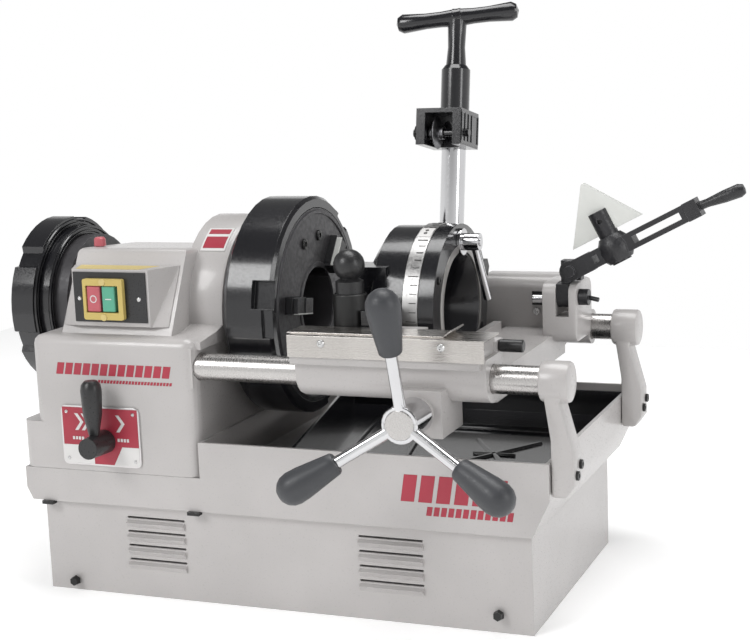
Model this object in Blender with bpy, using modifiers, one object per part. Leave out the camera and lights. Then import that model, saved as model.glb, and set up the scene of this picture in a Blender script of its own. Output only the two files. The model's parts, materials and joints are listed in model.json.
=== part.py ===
"""Pipe threading machine for two-inch pipe, in metres, +Z up.

X runs along the spindle, from the rear chuck to the tool carriage. Y runs from the operator
to the back. The origin is the centre of the base's underside.
"""

import math

import bmesh
import bpy
from mathutils import Matrix, Vector

GAP = 0.0003
SHEET = 0.003
SIDES = 24
FINE_SIDES = 40
SMALL_SIDES = 12

# Base and bed
SKIRT_X, SKIRT_Y, SKIRT_TOP = 0.240, 0.1335, 0.088
BED_LEFT, BED_RIGHT, BED_FOOT_RIGHT = -0.256, 0.2577, 0.242
BED_FRONT, BED_BACK = -0.1398, 0.1792
BED_FOLD, BED_RIM, PAN_FLOOR = 0.121, 0.1534, 0.118
LOUVRE_WIDTH, LOUVRE_PITCH, LOUVRE_COUNT, LOUVRE_DEPTH = 0.060, 0.0135, 4, 0.004
LOUVRE_CENTRES, LOUVRE_TOP = (-0.1217, 0.1115), 0.0745
TRAY_TOP = 0.146

# Headstock
HEAD_LEFT, HEAD_RIGHT, HEAD_FRONT, HEAD_BACK = -0.241, -0.070, -0.140, 0.165
HEAD_SEAM, HEAD_TOP, HEAD_WALL = 0.1203, 0.247, 0.008
PLINTH_TOP = 0.165
HOOD_LEFT, HOOD_RIGHT = -0.216, -0.100
HOOD_FOOT_Y, HOOD_EDGE_Y, HOOD_EDGE_Z = -0.122, -0.083, 0.322
HOOD_BACK_Y, HOOD_BACK_Z, HOOD_HEEL_Y = 0.020, 0.3145, 0.098
CAP_X, CAP_Y = -0.2055, -0.062
GUARD_LEFT, GUARD_RIGHT, GUARD_RADIUS, GUARD_WALL = -0.108, -0.066, 0.087, 0.004

# Spindle line
SPINDLE_Y, SPINDLE_Z = 0.0021, 0.2582
SPINDLE_RADIUS, SPINDLE_BORE = 0.042, 0.032
CHUCK_FACE, CHUCK_BACK, CHUCK_RADIUS, CHUCK_BORE = -0.0084, -0.062, 0.0924, 0.0364
HAND_RING_BACK, HAND_RING_RADIUS = -0.055, 0.1038
GRIP_ANGLES, GRIP_DEPTH, GRIP_LENGTH = (166, 46, 286), 0.0075, 0.020
JAW_ANGLES = (172, 52, 292)
JAW_INNER, JAW_LENGTH, JAW_WIDTH, JAW_BACK = 0.0385, 0.034, 0.0156, -0.0335
REAR_FACE, REAR_BACK, REAR_RADIUS, REAR_BORE = -0.2985, -0.2465, 0.066, 0.034
REAR_STEP, REAR_RING_BACK, REAR_RING_RADIUS = -0.2765, -0.262, 0.0840
REAR_JAW_INNER, REAR_JAW_LENGTH, REAR_JAW_WIDTH = 0.0365, 0.022, 0.012

# Gears: the pinion sits below and behind the spindle
GEAR_MODULE, GEAR_TEETH, PINION_TEETH = 0.0025, 60, 16
GEAR_LEFT, GEAR_RIGHT, GEAR_ANGLE = -0.104, -0.086, math.radians(-60)
MOTOR_RADIUS, MOTOR_RIGHT = 0.045, -0.125

# Guide rods and their end brackets
ROD_RADIUS, ROD_BORE, ROD_Z = 0.0125, 0.0128, 0.2205
FRONT_ROD_Y, REAR_ROD_Y = -0.1235, 0.1315
ROD_LEFT, ROD_RIGHT = -0.0895, 0.2660
BRACKET_LEFT, BRACKET_RIGHT, BRACKET_RADIUS, BRACKET_HALF = 0.2490, 0.2745, 0.0175, 0.013

# Carriage and its feed
CARRIAGE_LEFT, CARRIAGE_RIGHT = 0.0315, 0.207
HOUSING_RADIUS, PAD_TOP = 0.0205, 0.2557
FEED_X, FEED_Z, FEED_RADIUS, FEED_MODULE, FEED_TEETH = 0.151, 0.196, 0.008, 0.002, 14
RACK_HALF_COUNT = 9
HUB_FRONT, HUB_BACK, HUB_RADIUS, SPOKE_Y = -0.2031, -0.1660, 0.0160, -0.195
SPOKE_LEAN, SPOKE_PHASE = math.radians(16), math.radians(91)
SPOKE_RADIUS, SPOKE_END, KNOB_START, KNOB_END = 0.0052, 0.0995, 0.0640, 0.1205
TRIP_X, TRIP_Y, TRIP_RADIUS, TRIP_TOP = 0.066, -0.0925, 0.0142, 0.325
LATCH_Y, LATCH_Z, LATCH_LEFT, LATCH_RIGHT = -0.097, 0.244, 0.2043, 0.226

# Die head
DIE_RING_LEFT, DIE_RING_RIGHT, DIE_RING_RADIUS = 0.1075, 0.1225, 0.0785
DIE_FACE, DIE_BACK, DIE_HUB_RADIUS = 0.137, 0.066, 0.0665
DIE_X, DIE_THICKNESS, DIE_WIDTH, DIE_INNER, DIE_LENGTH = 0.086, 0.012, 0.014, 0.031, 0.0265
LEVER_Y, LEVER_Z = 0.005, 0.3195

# Pipe cutter, swung up on its hinge
HINGE_Y, HINGE_Z, HINGE_PIN = 0.098, 0.282, 0.0075
CUTTER_LEAN = math.radians(-10.3)
POST_X, POST_Y, POST_RADIUS, POST_FOOT, POST_TOP = 0.0940, HINGE_Y, 0.0120, 0.293, 0.440
ROLLER_RADIUS, ROLLER_WIDTH = 0.0065, 0.0077
ROLLER_Y, ROLLER_Z, ROLLER_LEFTS = 0.0785, 0.312, (0.0860, 0.0943)
SLEEVE_RADIUS, SLEEVE_TOP = 0.0142, 0.4805
WHEEL_X, WHEEL_Y, WHEEL_Z, WHEEL_RADIUS = 0.0870, 0.0690, 0.411, 0.0155
TEE_Z, TEE_RADIUS, TEE_HALF = 0.528, 0.0077, 0.0650
TEE_TURN, TEE_TILT = math.radians(12), math.radians(6.5)

# Reamer, folded to the right
CLEVIS_Y, CLEVIS_Z, CLEVIS_LEFT, CLEVIS_RIGHT, CLEVIS_TOP = 0.0783, 0.2582, 0.196, 0.2290, 0.272
BLOCK_LEFT, BLOCK_RIGHT = 0.2090, 0.2212
ARM_X, ARM_Z, ARM_Y, ARM_ANGLE = 0.2240, 0.284, 0.0765, math.radians(27)
REAMER_ALONG, BLADE_BASE, BLADE_TIP, BLADE_HALF = 0.0465, 0.017, 0.068, 0.037

# Switch and speed lever
PLATE_X, PLATE_Z = (-0.1975, -0.1215), (0.2590, 0.3055)
SWITCH_FRONT = -0.1245
BUTTON_HOLE_X, BUTTON_HOLE_Z = (-0.1820, -0.1480), (0.2685, 0.2935)
SPEED_X, SPEED_Z = -0.165, 0.150

HANDLE_BEND = 0.10
SHARP = math.radians(30)
WORLD = Vector((9, 9, 9))
AXIS_NAMES = "XYZ"
UNIT = {"X": Vector((1, 0, 0)), "Y": Vector((0, 1, 0)), "Z": Vector((0, 0, 1))}
IN_PLANE = {"X": (1, 2), "Y": (0, 2), "Z": (0, 1)}


def clear_scene():
    for obj in list(bpy.data.objects):
        bpy.data.objects.remove(obj, do_unlink=True)


def new_collection(name, helpers=False):
    collection = bpy.data.collections.new(name)
    collection.hide_render = helpers
    bpy.context.scene.collection.children.link(collection)
    return collection


clear_scene()
PARTS = new_collection("pipe_threading_machine")
HELPERS = new_collection("cutters", helpers=True)


def material(name, color, roughness, metallic=0.0):
    made = bpy.data.materials.new(name)
    made.use_nodes = True
    shader = made.node_tree.nodes["Principled BSDF"]
    shader.inputs["Base Color"].default_value = (*color, 1)
    shader.inputs["Roughness"].default_value = roughness
    shader.inputs["Metallic"].default_value = metallic
    return made


PAINT = material("grey_paint", (0.50, 0.49, 0.47), 0.40)
BLACK_PAINT = material("black_paint", (0.015, 0.015, 0.017), 0.25)
BLACK_CAST = material("black_cast_iron", (0.03, 0.03, 0.033), 0.55)
CHUCK_FINISH = material("dark_satin_steel", (0.09, 0.09, 0.10), 0.38, 0.6)
CHROME = material("chrome", (0.75, 0.75, 0.76), 0.12, 1.0)
POLISHED = material("polished_steel", (0.62, 0.61, 0.59), 0.22, 1.0)
STAINLESS = material("brushed_stainless", (0.66, 0.65, 0.62), 0.32, 1.0)
TOOL_STEEL = material("tool_steel", (0.25, 0.25, 0.26), 0.35, 1.0)
KNOB_PLASTIC = material("slate_plastic", (0.05, 0.052, 0.056), 0.5)
BLACK_PLASTIC = material("black_plastic", (0.02, 0.02, 0.022), 0.4)
YELLOW = material("yellow_plastic", (0.85, 0.62, 0.10), 0.4)
RED = material("red_plastic", (0.60, 0.05, 0.06), 0.4)
GREEN = material("green_plastic", (0.05, 0.45, 0.22), 0.4)
SIGN = material("speed_sign", (0.62, 0.05, 0.08), 0.35)
BLADE_STEEL = material("ground_steel", (0.72, 0.73, 0.72), 0.3, 1.0)
MOTOR_PAINT = material("motor_grey", (0.18, 0.19, 0.20), 0.5)


def mesh_of(bm):
    bmesh.ops.recalc_face_normals(bm, faces=bm.faces)
    mesh = bpy.data.meshes.new("shape")
    bm.to_mesh(mesh)
    bm.free()
    return mesh


def helper(mesh):
    """A shape used only to cut or join another."""
    obj = bpy.data.objects.new("helper", mesh)
    obj.hide_render = True
    obj.display_type = "WIRE"
    HELPERS.objects.link(obj)
    return obj


def part(name, mesh, finish, origin=(0, 0, 0)):
    """A named piece whose origin lies at the given point, on its joint's axis where it moves."""
    mesh.name = name
    mesh.materials.append(finish)
    mesh.transform(Matrix.Translation(-Vector(origin)))
    mesh.shade_smooth()
    mesh.set_sharp_from_angle(angle=math.radians(35))
    obj = bpy.data.objects.new(name, mesh)
    obj.location = origin
    PARTS.objects.link(obj)
    return obj


def combine(obj, operation, meshes):
    for mesh in meshes:
        step = obj.modifiers.new(operation.title(), "BOOLEAN")
        step.operation = operation
        step.object = helper(mesh)


def cut(obj, *meshes):
    combine(obj, "DIFFERENCE", meshes)


def join(obj, *meshes):
    combine(obj, "UNION", meshes)


def bevel(obj, width, segments=2, angle=40):
    step = obj.modifiers.new("Round edges", "BEVEL")
    step.width = width
    step.segments = segments
    step.limit_method = "ANGLE"
    step.angle_limit = math.radians(angle)


def block(*spans):
    """A box between three (low, high) pairs."""
    bm = bmesh.new()
    bmesh.ops.create_cube(bm, size=1)
    bmesh.ops.scale(bm, vec=[high - low for low, high in spans], verts=bm.verts)
    bmesh.ops.translate(bm, vec=[(high + low) / 2 for low, high in spans], verts=bm.verts)
    return mesh_of(bm)


def bar(start, end, radius, end_radius=None, sides=SIDES):
    """A round bar or cone between two points."""
    start, end = Vector(start), Vector(end)
    line = end - start
    bm = bmesh.new()
    bmesh.ops.create_cone(
        bm,
        cap_ends=True,
        segments=sides,
        radius1=radius,
        radius2=radius if end_radius is None else end_radius,
        depth=line.length,
    )
    turn = UNIT["Z"].rotation_difference(line).to_matrix().to_4x4()
    bmesh.ops.transform(bm, matrix=Matrix.Translation((start + end) / 2) @ turn, verts=bm.verts)
    return mesh_of(bm)


def along(axis, low, high, centre, radius, sides=SIDES):
    """A round bar parallel to an axis; centre gives the two other coordinates in order."""
    ends = []
    for value in (low, high):
        point = Vector()
        point[AXIS_NAMES.index(axis)] = value
        point[IN_PLANE[axis][0]], point[IN_PLANE[axis][1]] = centre
        ends.append(point)
    return bar(*ends, radius, sides=sides)


def prism(outline, axis, low, high):
    """An outline extruded along an axis; its points give the two other coordinates in order."""
    first, second = IN_PLANE[axis]
    bm = bmesh.new()
    corners = []
    for a, b in outline:
        point = UNIT[axis] * low
        point[first], point[second] = a, b
        corners.append(bm.verts.new(point))
    grown = bmesh.ops.extrude_face_region(bm, geom=[bm.faces.new(corners)])
    tops = [item for item in grown["geom"] if isinstance(item, bmesh.types.BMVert)]
    bmesh.ops.translate(bm, vec=UNIT[axis] * (high - low), verts=tops)
    return mesh_of(bm)


def arc(centre, radius, start, end, steps):
    """Points on an arc, with the angles in degrees."""
    angles = [math.radians(start + (end - start) * i / steps) for i in range(steps + 1)]
    return [(centre[0] + radius * math.cos(a), centre[1] + radius * math.sin(a)) for a in angles]


def rounded(first, second, radius, steps=4):
    """A rectangle with round corners, between two (low, high) pairs."""
    corners = (
        (first[1] - radius, second[0] + radius, -90),
        (first[1] - radius, second[1] - radius, 0),
        (first[0] + radius, second[1] - radius, 90),
        (first[0] + radius, second[0] + radius, 180),
    )
    return [point for a, b, angle in corners for point in arc((a, b), radius, angle, angle + 90, steps)]


def soften(mesh, width, low=-WORLD, high=WORLD, segments=2):
    """Rounds a mesh's sharp edges that lie wholly between two corners."""
    bm = bmesh.new()
    bm.from_mesh(mesh)

    def inside(vert):
        return all(low[i] <= vert.co[i] <= high[i] for i in range(3))

    edges = [
        edge for edge in bm.edges if edge.calc_face_angle() > SHARP and all(inside(vert) for vert in edge.verts)
    ]
    bmesh.ops.bevel(bm, geom=edges, offset=width, segments=segments, profile=0.5, affect="EDGES")
    bm.to_mesh(mesh)
    bm.free()
    return mesh


def soft_box(x, y, corner, low, high, rim, steps=3):
    """A block with round upright corners and a round rim at the top."""
    bm = bmesh.new()
    levels = [(0, low)]
    for step in range(steps + 1):
        angle = math.pi / 2 * step / steps
        levels.append((rim * (1 - math.cos(angle)), high - rim * (1 - math.sin(angle))))
    rings = []
    for inset, height in levels:
        outline = rounded((x[0] + inset, x[1] - inset), (y[0] + inset, y[1] - inset), corner - inset)
        rings.append([bm.verts.new((a, b, height)) for a, b in outline])
    for lower, upper in zip(rings, rings[1:]):
        count = len(lower)
        for i in range(count):
            bm.faces.new((lower[i], lower[(i + 1) % count], upper[(i + 1) % count], upper[i]))
    bm.faces.new(rings[0][::-1])
    bm.faces.new(rings[-1])
    return mesh_of(bm)


def turned(profile, base, direction, sides=SIDES):
    """A profile of (radius, height) points, running down its outer side, turned about an axis."""
    closed = all(radius > 0 for radius, _ in profile)
    count = len(profile)
    edges = [(i, (i + 1) % count) for i in range(count if closed else count - 1)]
    mesh = bpy.data.meshes.new("profile")
    mesh.from_pydata([(radius, 0, height) for radius, height in profile], edges, [])
    obj = helper(mesh)
    screw = obj.modifiers.new("Turn", "SCREW")
    screw.steps = screw.render_steps = sides
    screw.use_merge_vertices = True
    screw.merge_threshold = 1e-5
    graph = bpy.context.evaluated_depsgraph_get()
    solid = bpy.data.meshes.new_from_object(obj.evaluated_get(graph))
    bpy.data.objects.remove(obj)
    turn = UNIT["Z"].rotation_difference(Vector(direction)).to_matrix().to_4x4()
    solid.transform(Matrix.Translation(base) @ turn)
    return solid


def on_spindle(mesh, degrees):
    """Turns a shape about the spindle's axis."""
    centre = Matrix.Translation((0, SPINDLE_Y, SPINDLE_Z))
    mesh.transform(centre @ Matrix.Rotation(math.radians(degrees), 4, "X") @ centre.inverted())
    return mesh


def radial_block(x, inner, outer, width, degrees):
    """A block that points away from the spindle's axis at an angle measured from +Y."""
    ys = (SPINDLE_Y + inner, SPINDLE_Y + outer)
    zs = (SPINDLE_Z - width / 2, SPINDLE_Z + width / 2)
    return on_spindle(block(x, ys, zs), degrees)


def spindle_bar(low, high, radius, sides=SIDES):
    return along("X", low, high, (SPINDLE_Y, SPINDLE_Z), radius, sides)


def spindle_turned(profile, sides=FINE_SIDES):
    """A profile of (radius, X) points turned about the spindle's axis."""
    return turned(profile, (0, SPINDLE_Y, SPINDLE_Z), (1, 0, 0), sides)


def toothed(teeth, root, tip, centre, phase, root_share=0.26, tip_share=0.10):
    """A gear or lobed outline; the first tooth's centre lies at the phase angle."""
    pitch = 2 * math.pi / teeth
    corners = ((root, -root_share), (tip, -tip_share), (tip, tip_share), (root, root_share))
    points = []
    for tooth in range(teeth):
        for radius, share in corners:
            angle = phase + (tooth + share) * pitch
            points.append((centre[0] + radius * math.cos(angle), centre[1] + radius * math.sin(angle)))
    return points


def base_skirt():
    obj = part("base_skirt", block((-SKIRT_X, SKIRT_X), (-SKIRT_Y, SKIRT_Y), (0, SKIRT_TOP)), PAINT)
    inner = (
        (SHEET - SKIRT_X, SKIRT_X - SHEET),
        (SHEET - SKIRT_Y, SKIRT_Y - SHEET),
        (SHEET, SKIRT_TOP + SHEET),
    )
    cut(obj, block(*inner))
    for centre in LOUVRE_CENTRES:
        for row in range(LOUVRE_COUNT):
            louvre(obj, centre, LOUVRE_TOP - row * LOUVRE_PITCH)


def louvre(skirt, centre, top):
    """A pressed hood under a slot in the front wall."""
    ends = (centre - LOUVRE_WIDTH / 2, centre + LOUVRE_WIDTH / 2)
    front = -SKIRT_Y
    hood = [(front + SHEET / 2, top), (front - LOUVRE_DEPTH, top - 0.003), (front + SHEET / 2, top - 0.010)]
    join(skirt, prism(hood, "X", *ends))
    cut(skirt, block(ends, (front - SHEET, front + 2 * SHEET), (top + 0.0005, top + 0.0025)))


def bed():
    outline = [
        (-0.250, SKIRT_TOP + GAP),
        (BED_FOOT_RIGHT, SKIRT_TOP + GAP),
        (BED_RIGHT, BED_FOLD),
        (BED_RIGHT, BED_RIM),
        (HEAD_RIGHT + GAP, BED_RIM),
        (HEAD_RIGHT + GAP, HEAD_SEAM - GAP),
        (BED_LEFT, HEAD_SEAM - GAP),
        (BED_LEFT, 0.100),
    ]
    obj = part("bed", prism(outline, "Y", BED_FRONT, BED_BACK), PAINT)
    cut(
        obj,
        block((HEAD_RIGHT + 0.0035, 0.2542), (-0.1363, 0.1757), (PAN_FLOOR, 0.200)),
        block((-0.240, 0.236), (-0.130, 0.170), (0.050, 0.1145)),
        block((-0.225, -0.085), (-0.115, 0.150), (0.100, 0.130)),
    )


def chip_tray():
    """A pressed tray with a slanting left edge, in the right of the pan."""
    outline = [(0.015, -0.1355), (0.2537, -0.1355), (0.2537, 0.1752), (-0.050, 0.1752)]
    inner = [(0.0176, -0.1330), (0.2512, -0.1330), (0.2512, 0.1727), (-0.0467, 0.1727)]
    obj = part("chip_tray", prism(outline, "Z", PAN_FLOOR + GAP, TRAY_TOP), BLACK_PAINT)
    cut(obj, prism(inner, "Z", PAN_FLOOR + GAP + 0.002, TRAY_TOP + 0.01))


def hood_front_y(z):
    """The sloping front of the hood at a height."""
    rise = (z - HEAD_TOP) / (HOOD_EDGE_Z - HEAD_TOP)
    return HOOD_FOOT_Y + (HOOD_EDGE_Y - HOOD_FOOT_Y) * rise


def hood_outline(wall=0.0):
    """The hood's section across the spindle, or the space inside it at a wall thickness."""
    foot = HEAD_TOP - 0.010
    return [
        (hood_front_y(foot) + wall, foot),
        (HOOD_EDGE_Y + wall, HOOD_EDGE_Z - wall),
        (HOOD_BACK_Y - wall / 2, HOOD_BACK_Z - wall),
        (HOOD_HEEL_Y - wall, foot),
    ]


def guard_outline(radius, flare):
    """The round guard's section, flaring out to the casing's top at the front and back."""
    centre = (SPINDLE_Y, SPINDLE_Z)
    top = arc(centre, radius, -4, 184, 18)
    foot = HEAD_TOP - 0.010
    front = [(SPINDLE_Y - radius - 0.012, HEAD_TOP + 0.0015), (SPINDLE_Y - radius - flare, HEAD_TOP - 0.003)]
    back = [(SPINDLE_Y + radius + flare, HEAD_TOP - 0.003), (SPINDLE_Y + radius + 0.012, HEAD_TOP + 0.0015)]
    return top + front + [(SPINDLE_Y - radius - flare, foot), (SPINDLE_Y + radius + flare, foot)] + back


def headstock_casing():
    lower = soft_box((HEAD_LEFT, HEAD_RIGHT), (HEAD_FRONT, HEAD_BACK), 0.011, HEAD_SEAM, HEAD_TOP, 0.0085)
    obj = part("headstock_casing", lower, PAINT)
    plinth = rounded((BED_LEFT, HEAD_LEFT + 0.040), (HEAD_FRONT, HEAD_BACK), 0.010)
    hood_low = (-1, -1, HOOD_EDGE_Z - 0.010)
    guard_low = (GUARD_RIGHT - GAP, -1, SPINDLE_Z - 0.010)
    join(
        obj,
        prism(plinth, "Z", HEAD_SEAM, PLINTH_TOP),
        soften(prism(hood_outline(), "X", HOOD_LEFT, HOOD_RIGHT), 0.005, hood_low, WORLD, 3),
        soften(prism(guard_outline(GUARD_RADIUS, 0.046), "X", GUARD_LEFT, GUARD_RIGHT), 0.0028, guard_low),
    )
    inside_x = (HEAD_LEFT + HEAD_WALL, HEAD_RIGHT - HEAD_WALL)
    inside_y = (HEAD_FRONT + HEAD_WALL, HEAD_BACK - HEAD_WALL)
    guard_inside = GUARD_RADIUS - GUARD_WALL
    cut(
        obj,
        block(inside_x, inside_y, (0.100, HEAD_TOP - HEAD_WALL)),
        prism(hood_outline(HEAD_WALL), "X", HOOD_LEFT + HEAD_WALL, HOOD_RIGHT - HEAD_WALL),
        spindle_bar(GUARD_LEFT + 0.002, HEAD_RIGHT - HEAD_WALL, guard_inside, FINE_SIDES),
        spindle_bar(HEAD_RIGHT, 0, guard_inside, FINE_SIDES),
        spindle_bar(-0.300, 0, SPINDLE_RADIUS + 0.0007, FINE_SIDES),
    )
    rod_sockets(obj)
    cut(
        obj,
        along("Y", HEAD_FRONT - 0.01, -0.120, (SPEED_X, SPEED_Z), 0.0065, SMALL_SIDES),
        along("Z", 0.300, 0.340, (CAP_X, CAP_Y), 0.0042, SMALL_SIDES),
    )


def rod_sockets(casing):
    """Bosses in the casing's right wall that take the guide rods."""
    for y, depth in ((FRONT_ROD_Y, HEAD_FRONT + 0.002), (REAR_ROD_Y, HEAD_BACK - 0.002)):
        ys = sorted((depth, y + math.copysign(0.018, -y)))
        join(casing, block((ROD_LEFT - 0.005, HEAD_RIGHT - 0.002), ys, (ROD_Z - 0.018, ROD_Z + 0.018)))
        cut(casing, along("X", ROD_LEFT - GAP, 0, (y, ROD_Z), ROD_BORE))


def switch_box():
    """A box on the hood's sloping front that widens towards the back."""
    low, high = 0.2545, 0.3078
    side = [
        (SWITCH_FRONT, low),
        (SWITCH_FRONT, high),
        (hood_front_y(high) - GAP, high),
        (hood_front_y(low) - GAP, low),
    ]
    centre, half, flare = -0.1595, 0.0405, 1.38
    mesh = prism(side, "X", centre - half, centre + half)
    soften(mesh, 0.0015, -WORLD, (1, SWITCH_FRONT + GAP, 1))
    for vert in mesh.vertices:
        if vert.co.y > SWITCH_FRONT + 0.003:
            vert.co.x = centre + (vert.co.x - centre) * flare
    obj = part("switch_box", mesh, PAINT)
    cut(obj, block(BUTTON_HOLE_X, (-0.130, -0.1185), BUTTON_HOLE_Z))


def switch():
    plate = part("switch_plate", block(PLATE_X, (-0.1260, -0.1248), PLATE_Z), BLACK_PLASTIC)
    cut(plate, block(BUTTON_HOLE_X, (-0.140, -0.120), BUTTON_HOLE_Z))
    edge = rounded((-0.1850, -0.1430), (0.2618, 0.2998), 0.002, 2)
    frame = part("switch_frame", prism(edge, "Y", -0.1310, -0.1263), YELLOW)
    cut(frame, block(BUTTON_HOLE_X, (-0.140, -0.120), BUTTON_HOLE_Z))
    button("stop_button", (-0.1815, -0.1676), RED)
    button("start_button", (-0.1655, -0.1520), GREEN)


def button(name, x, finish):
    low, high = BUTTON_HOLE_Z
    centre = ((x[0] + x[1]) / 2, -0.1300, (low + high) / 2)
    obj = part(name, block(x, (-0.1300, -0.1225), (low + 0.0005, high - 0.0005)), finish, centre)
    bevel(obj, 0.0008, 1)


def speed_plate():
    edge = rounded((-0.2110, -0.1280), (0.1260, 0.1825), 0.005, 3)
    obj = part("speed_plate", prism(edge, "Y", HEAD_FRONT - 0.0018, HEAD_FRONT - GAP), SIGN)
    cut(obj, along("Y", -0.160, -0.120, (SPEED_X, SPEED_Z), 0.0075, SMALL_SIDES))


def speed_lever():
    axis = (SPEED_X, HEAD_FRONT - 0.002, SPEED_Z)
    boss = bar((SPEED_X, -0.1422, SPEED_Z), (SPEED_X, -0.1725, SPEED_Z), 0.0112, 0.0098)
    obj = part("speed_lever", boss, BLACK_PLASTIC, axis)
    grip = [
        (0, 0.0615), (0.006, 0.0608), (0.0088, 0.0575), (0.0098, 0.052), (0.0088, 0.030), (0.0050, 0.011), (0, 0.004),
    ]
    join(
        obj,
        turned(grip, (SPEED_X, -0.160, SPEED_Z), (0, 0, 1), 20),
        along("Y", -0.150, -0.129, (SPEED_X, SPEED_Z), 0.006, SMALL_SIDES),
    )


def filler_cap():
    profile = [
        (0, 0.0088), (0.0040, 0.0084), (0.0055, 0.0068), (0.0058, 0.0), (0.0038, 0.0), (0.0036, -0.012), (0, -0.012),
    ]
    base = (CAP_X, CAP_Y, 0.3212)
    part("filler_cap", turned(profile, base, (0, 0, 1), SMALL_SIDES), RED, base)


def spindle():
    axis = (-0.17, SPINDLE_Y, SPINDLE_Z)
    ends = (CHUCK_BACK - GAP, REAR_STEP + GAP)
    tube = [
        (SPINDLE_RADIUS, ends[0]), (SPINDLE_RADIUS, ends[1]), (SPINDLE_BORE, ends[1]), (SPINDLE_BORE, ends[0]),
    ]
    part("spindle_tube", spindle_turned(tube), POLISHED, axis)
    pitch_radius = GEAR_MODULE * GEAR_TEETH / 2
    teeth = toothed(
        GEAR_TEETH,
        pitch_radius - 1.2 * GEAR_MODULE,
        pitch_radius + GEAR_MODULE,
        (SPINDLE_Y, SPINDLE_Z),
        GEAR_ANGLE,
    )
    gear = part("spindle_gear", prism(teeth, "X", GEAR_LEFT, GEAR_RIGHT), TOOL_STEEL, axis)
    cut(gear, spindle_bar(-0.2, 0, SPINDLE_RADIUS + 2 * GAP, FINE_SIDES))


def drive():
    distance = GEAR_MODULE * (GEAR_TEETH + PINION_TEETH) / 2
    y = SPINDLE_Y + distance * math.cos(GEAR_ANGLE)
    z = SPINDLE_Z + distance * math.sin(GEAR_ANGLE)
    housing = along("X", HEAD_LEFT + HEAD_WALL + GAP, MOTOR_RIGHT, (y, z), MOTOR_RADIUS)
    motor = part("motor", housing, MOTOR_PAINT)
    cut(motor, along("X", MOTOR_RIGHT - 0.015, 0, (y, z), 0.0075, SMALL_SIDES))
    radius = GEAR_MODULE * PINION_TEETH / 2
    half_tooth = math.pi / PINION_TEETH
    teeth = toothed(
        PINION_TEETH,
        radius - 1.2 * GEAR_MODULE,
        radius + GEAR_MODULE,
        (y, z),
        GEAR_ANGLE + math.pi + half_tooth,
    )
    pinion = part("motor_pinion", prism(teeth, "X", GEAR_LEFT, GEAR_RIGHT), TOOL_STEEL, (GEAR_LEFT, y, z))
    join(pinion, along("X", MOTOR_RIGHT - 0.014, GEAR_LEFT + 0.002, (y, z), 0.007, SMALL_SIDES))


def chuck():
    axis = (CHUCK_FACE, SPINDLE_Y, SPINDLE_Z)
    ring = [
        (CHUCK_RADIUS, CHUCK_FACE),
        (CHUCK_RADIUS, CHUCK_BACK),
        (CHUCK_BORE, CHUCK_BACK),
        (CHUCK_BORE, CHUCK_FACE),
    ]
    body = part("chuck_body", spindle_turned(ring), CHUCK_FINISH, axis)
    drum = spindle_turned(
        [
            (HAND_RING_RADIUS - 0.0015, HAND_RING_BACK),
            (CHUCK_RADIUS + 0.0007, HAND_RING_BACK),
            (CHUCK_RADIUS + 0.0007, CHUCK_FACE),
            (HAND_RING_RADIUS - 0.0030, CHUCK_FACE),
            (HAND_RING_RADIUS, CHUCK_FACE - 0.003),
            (HAND_RING_RADIUS, HAND_RING_BACK + 0.0015),
        ]
    )
    hand = part("chuck_hand_ring", drum, BLACK_PAINT, axis)
    for angle in GRIP_ANGLES:
        cut(hand, grip(angle), grip(angle + 15, 0.5))
    for number, angle in enumerate(JAW_ANGLES, 1):
        slot_end = JAW_INNER + JAW_LENGTH + 0.001
        cut(body, radial_block((JAW_BACK - GAP, 0.01), 0.030, slot_end, JAW_WIDTH + 2 * GAP, angle))
        chuck_jaw(f"chuck_jaw_{number}", angle)


def grip(angle, share=1.0):
    """A scoop in the front edge of the hand ring."""
    floor = HAND_RING_RADIUS - share * GRIP_DEPTH
    scoop = radial_block((CHUCK_FACE - share * GRIP_LENGTH, 0.01), floor, 0.120, 0.026, angle)
    return scoop


def notched(radius, depth, count, phase, width, steps=6):
    """A circle about the spindle with notches in it."""
    centre = (SPINDLE_Y, SPINDLE_Z)
    pitch = 360 / count
    outline = []
    for number in range(count):
        start = phase + number * pitch
        outline += arc(centre, radius, start + width / 2, start + pitch - width / 2, steps)
        outline += arc(centre, radius - depth, start + pitch - width / 3, start + pitch + width / 3, 2)
    return outline


def chuck_jaw(name, angle):
    """A stepped jaw that slides towards the spindle's axis."""
    tail = radial_block((JAW_BACK, -0.0015), JAW_INNER + 0.004, JAW_INNER + JAW_LENGTH, JAW_WIDTH, angle)
    obj = part(name, tail, BLACK_CAST)
    join(obj, radial_block((JAW_BACK + 0.002, 0.004), JAW_INNER, JAW_INNER + 0.016, JAW_WIDTH - 0.001, angle))


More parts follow.
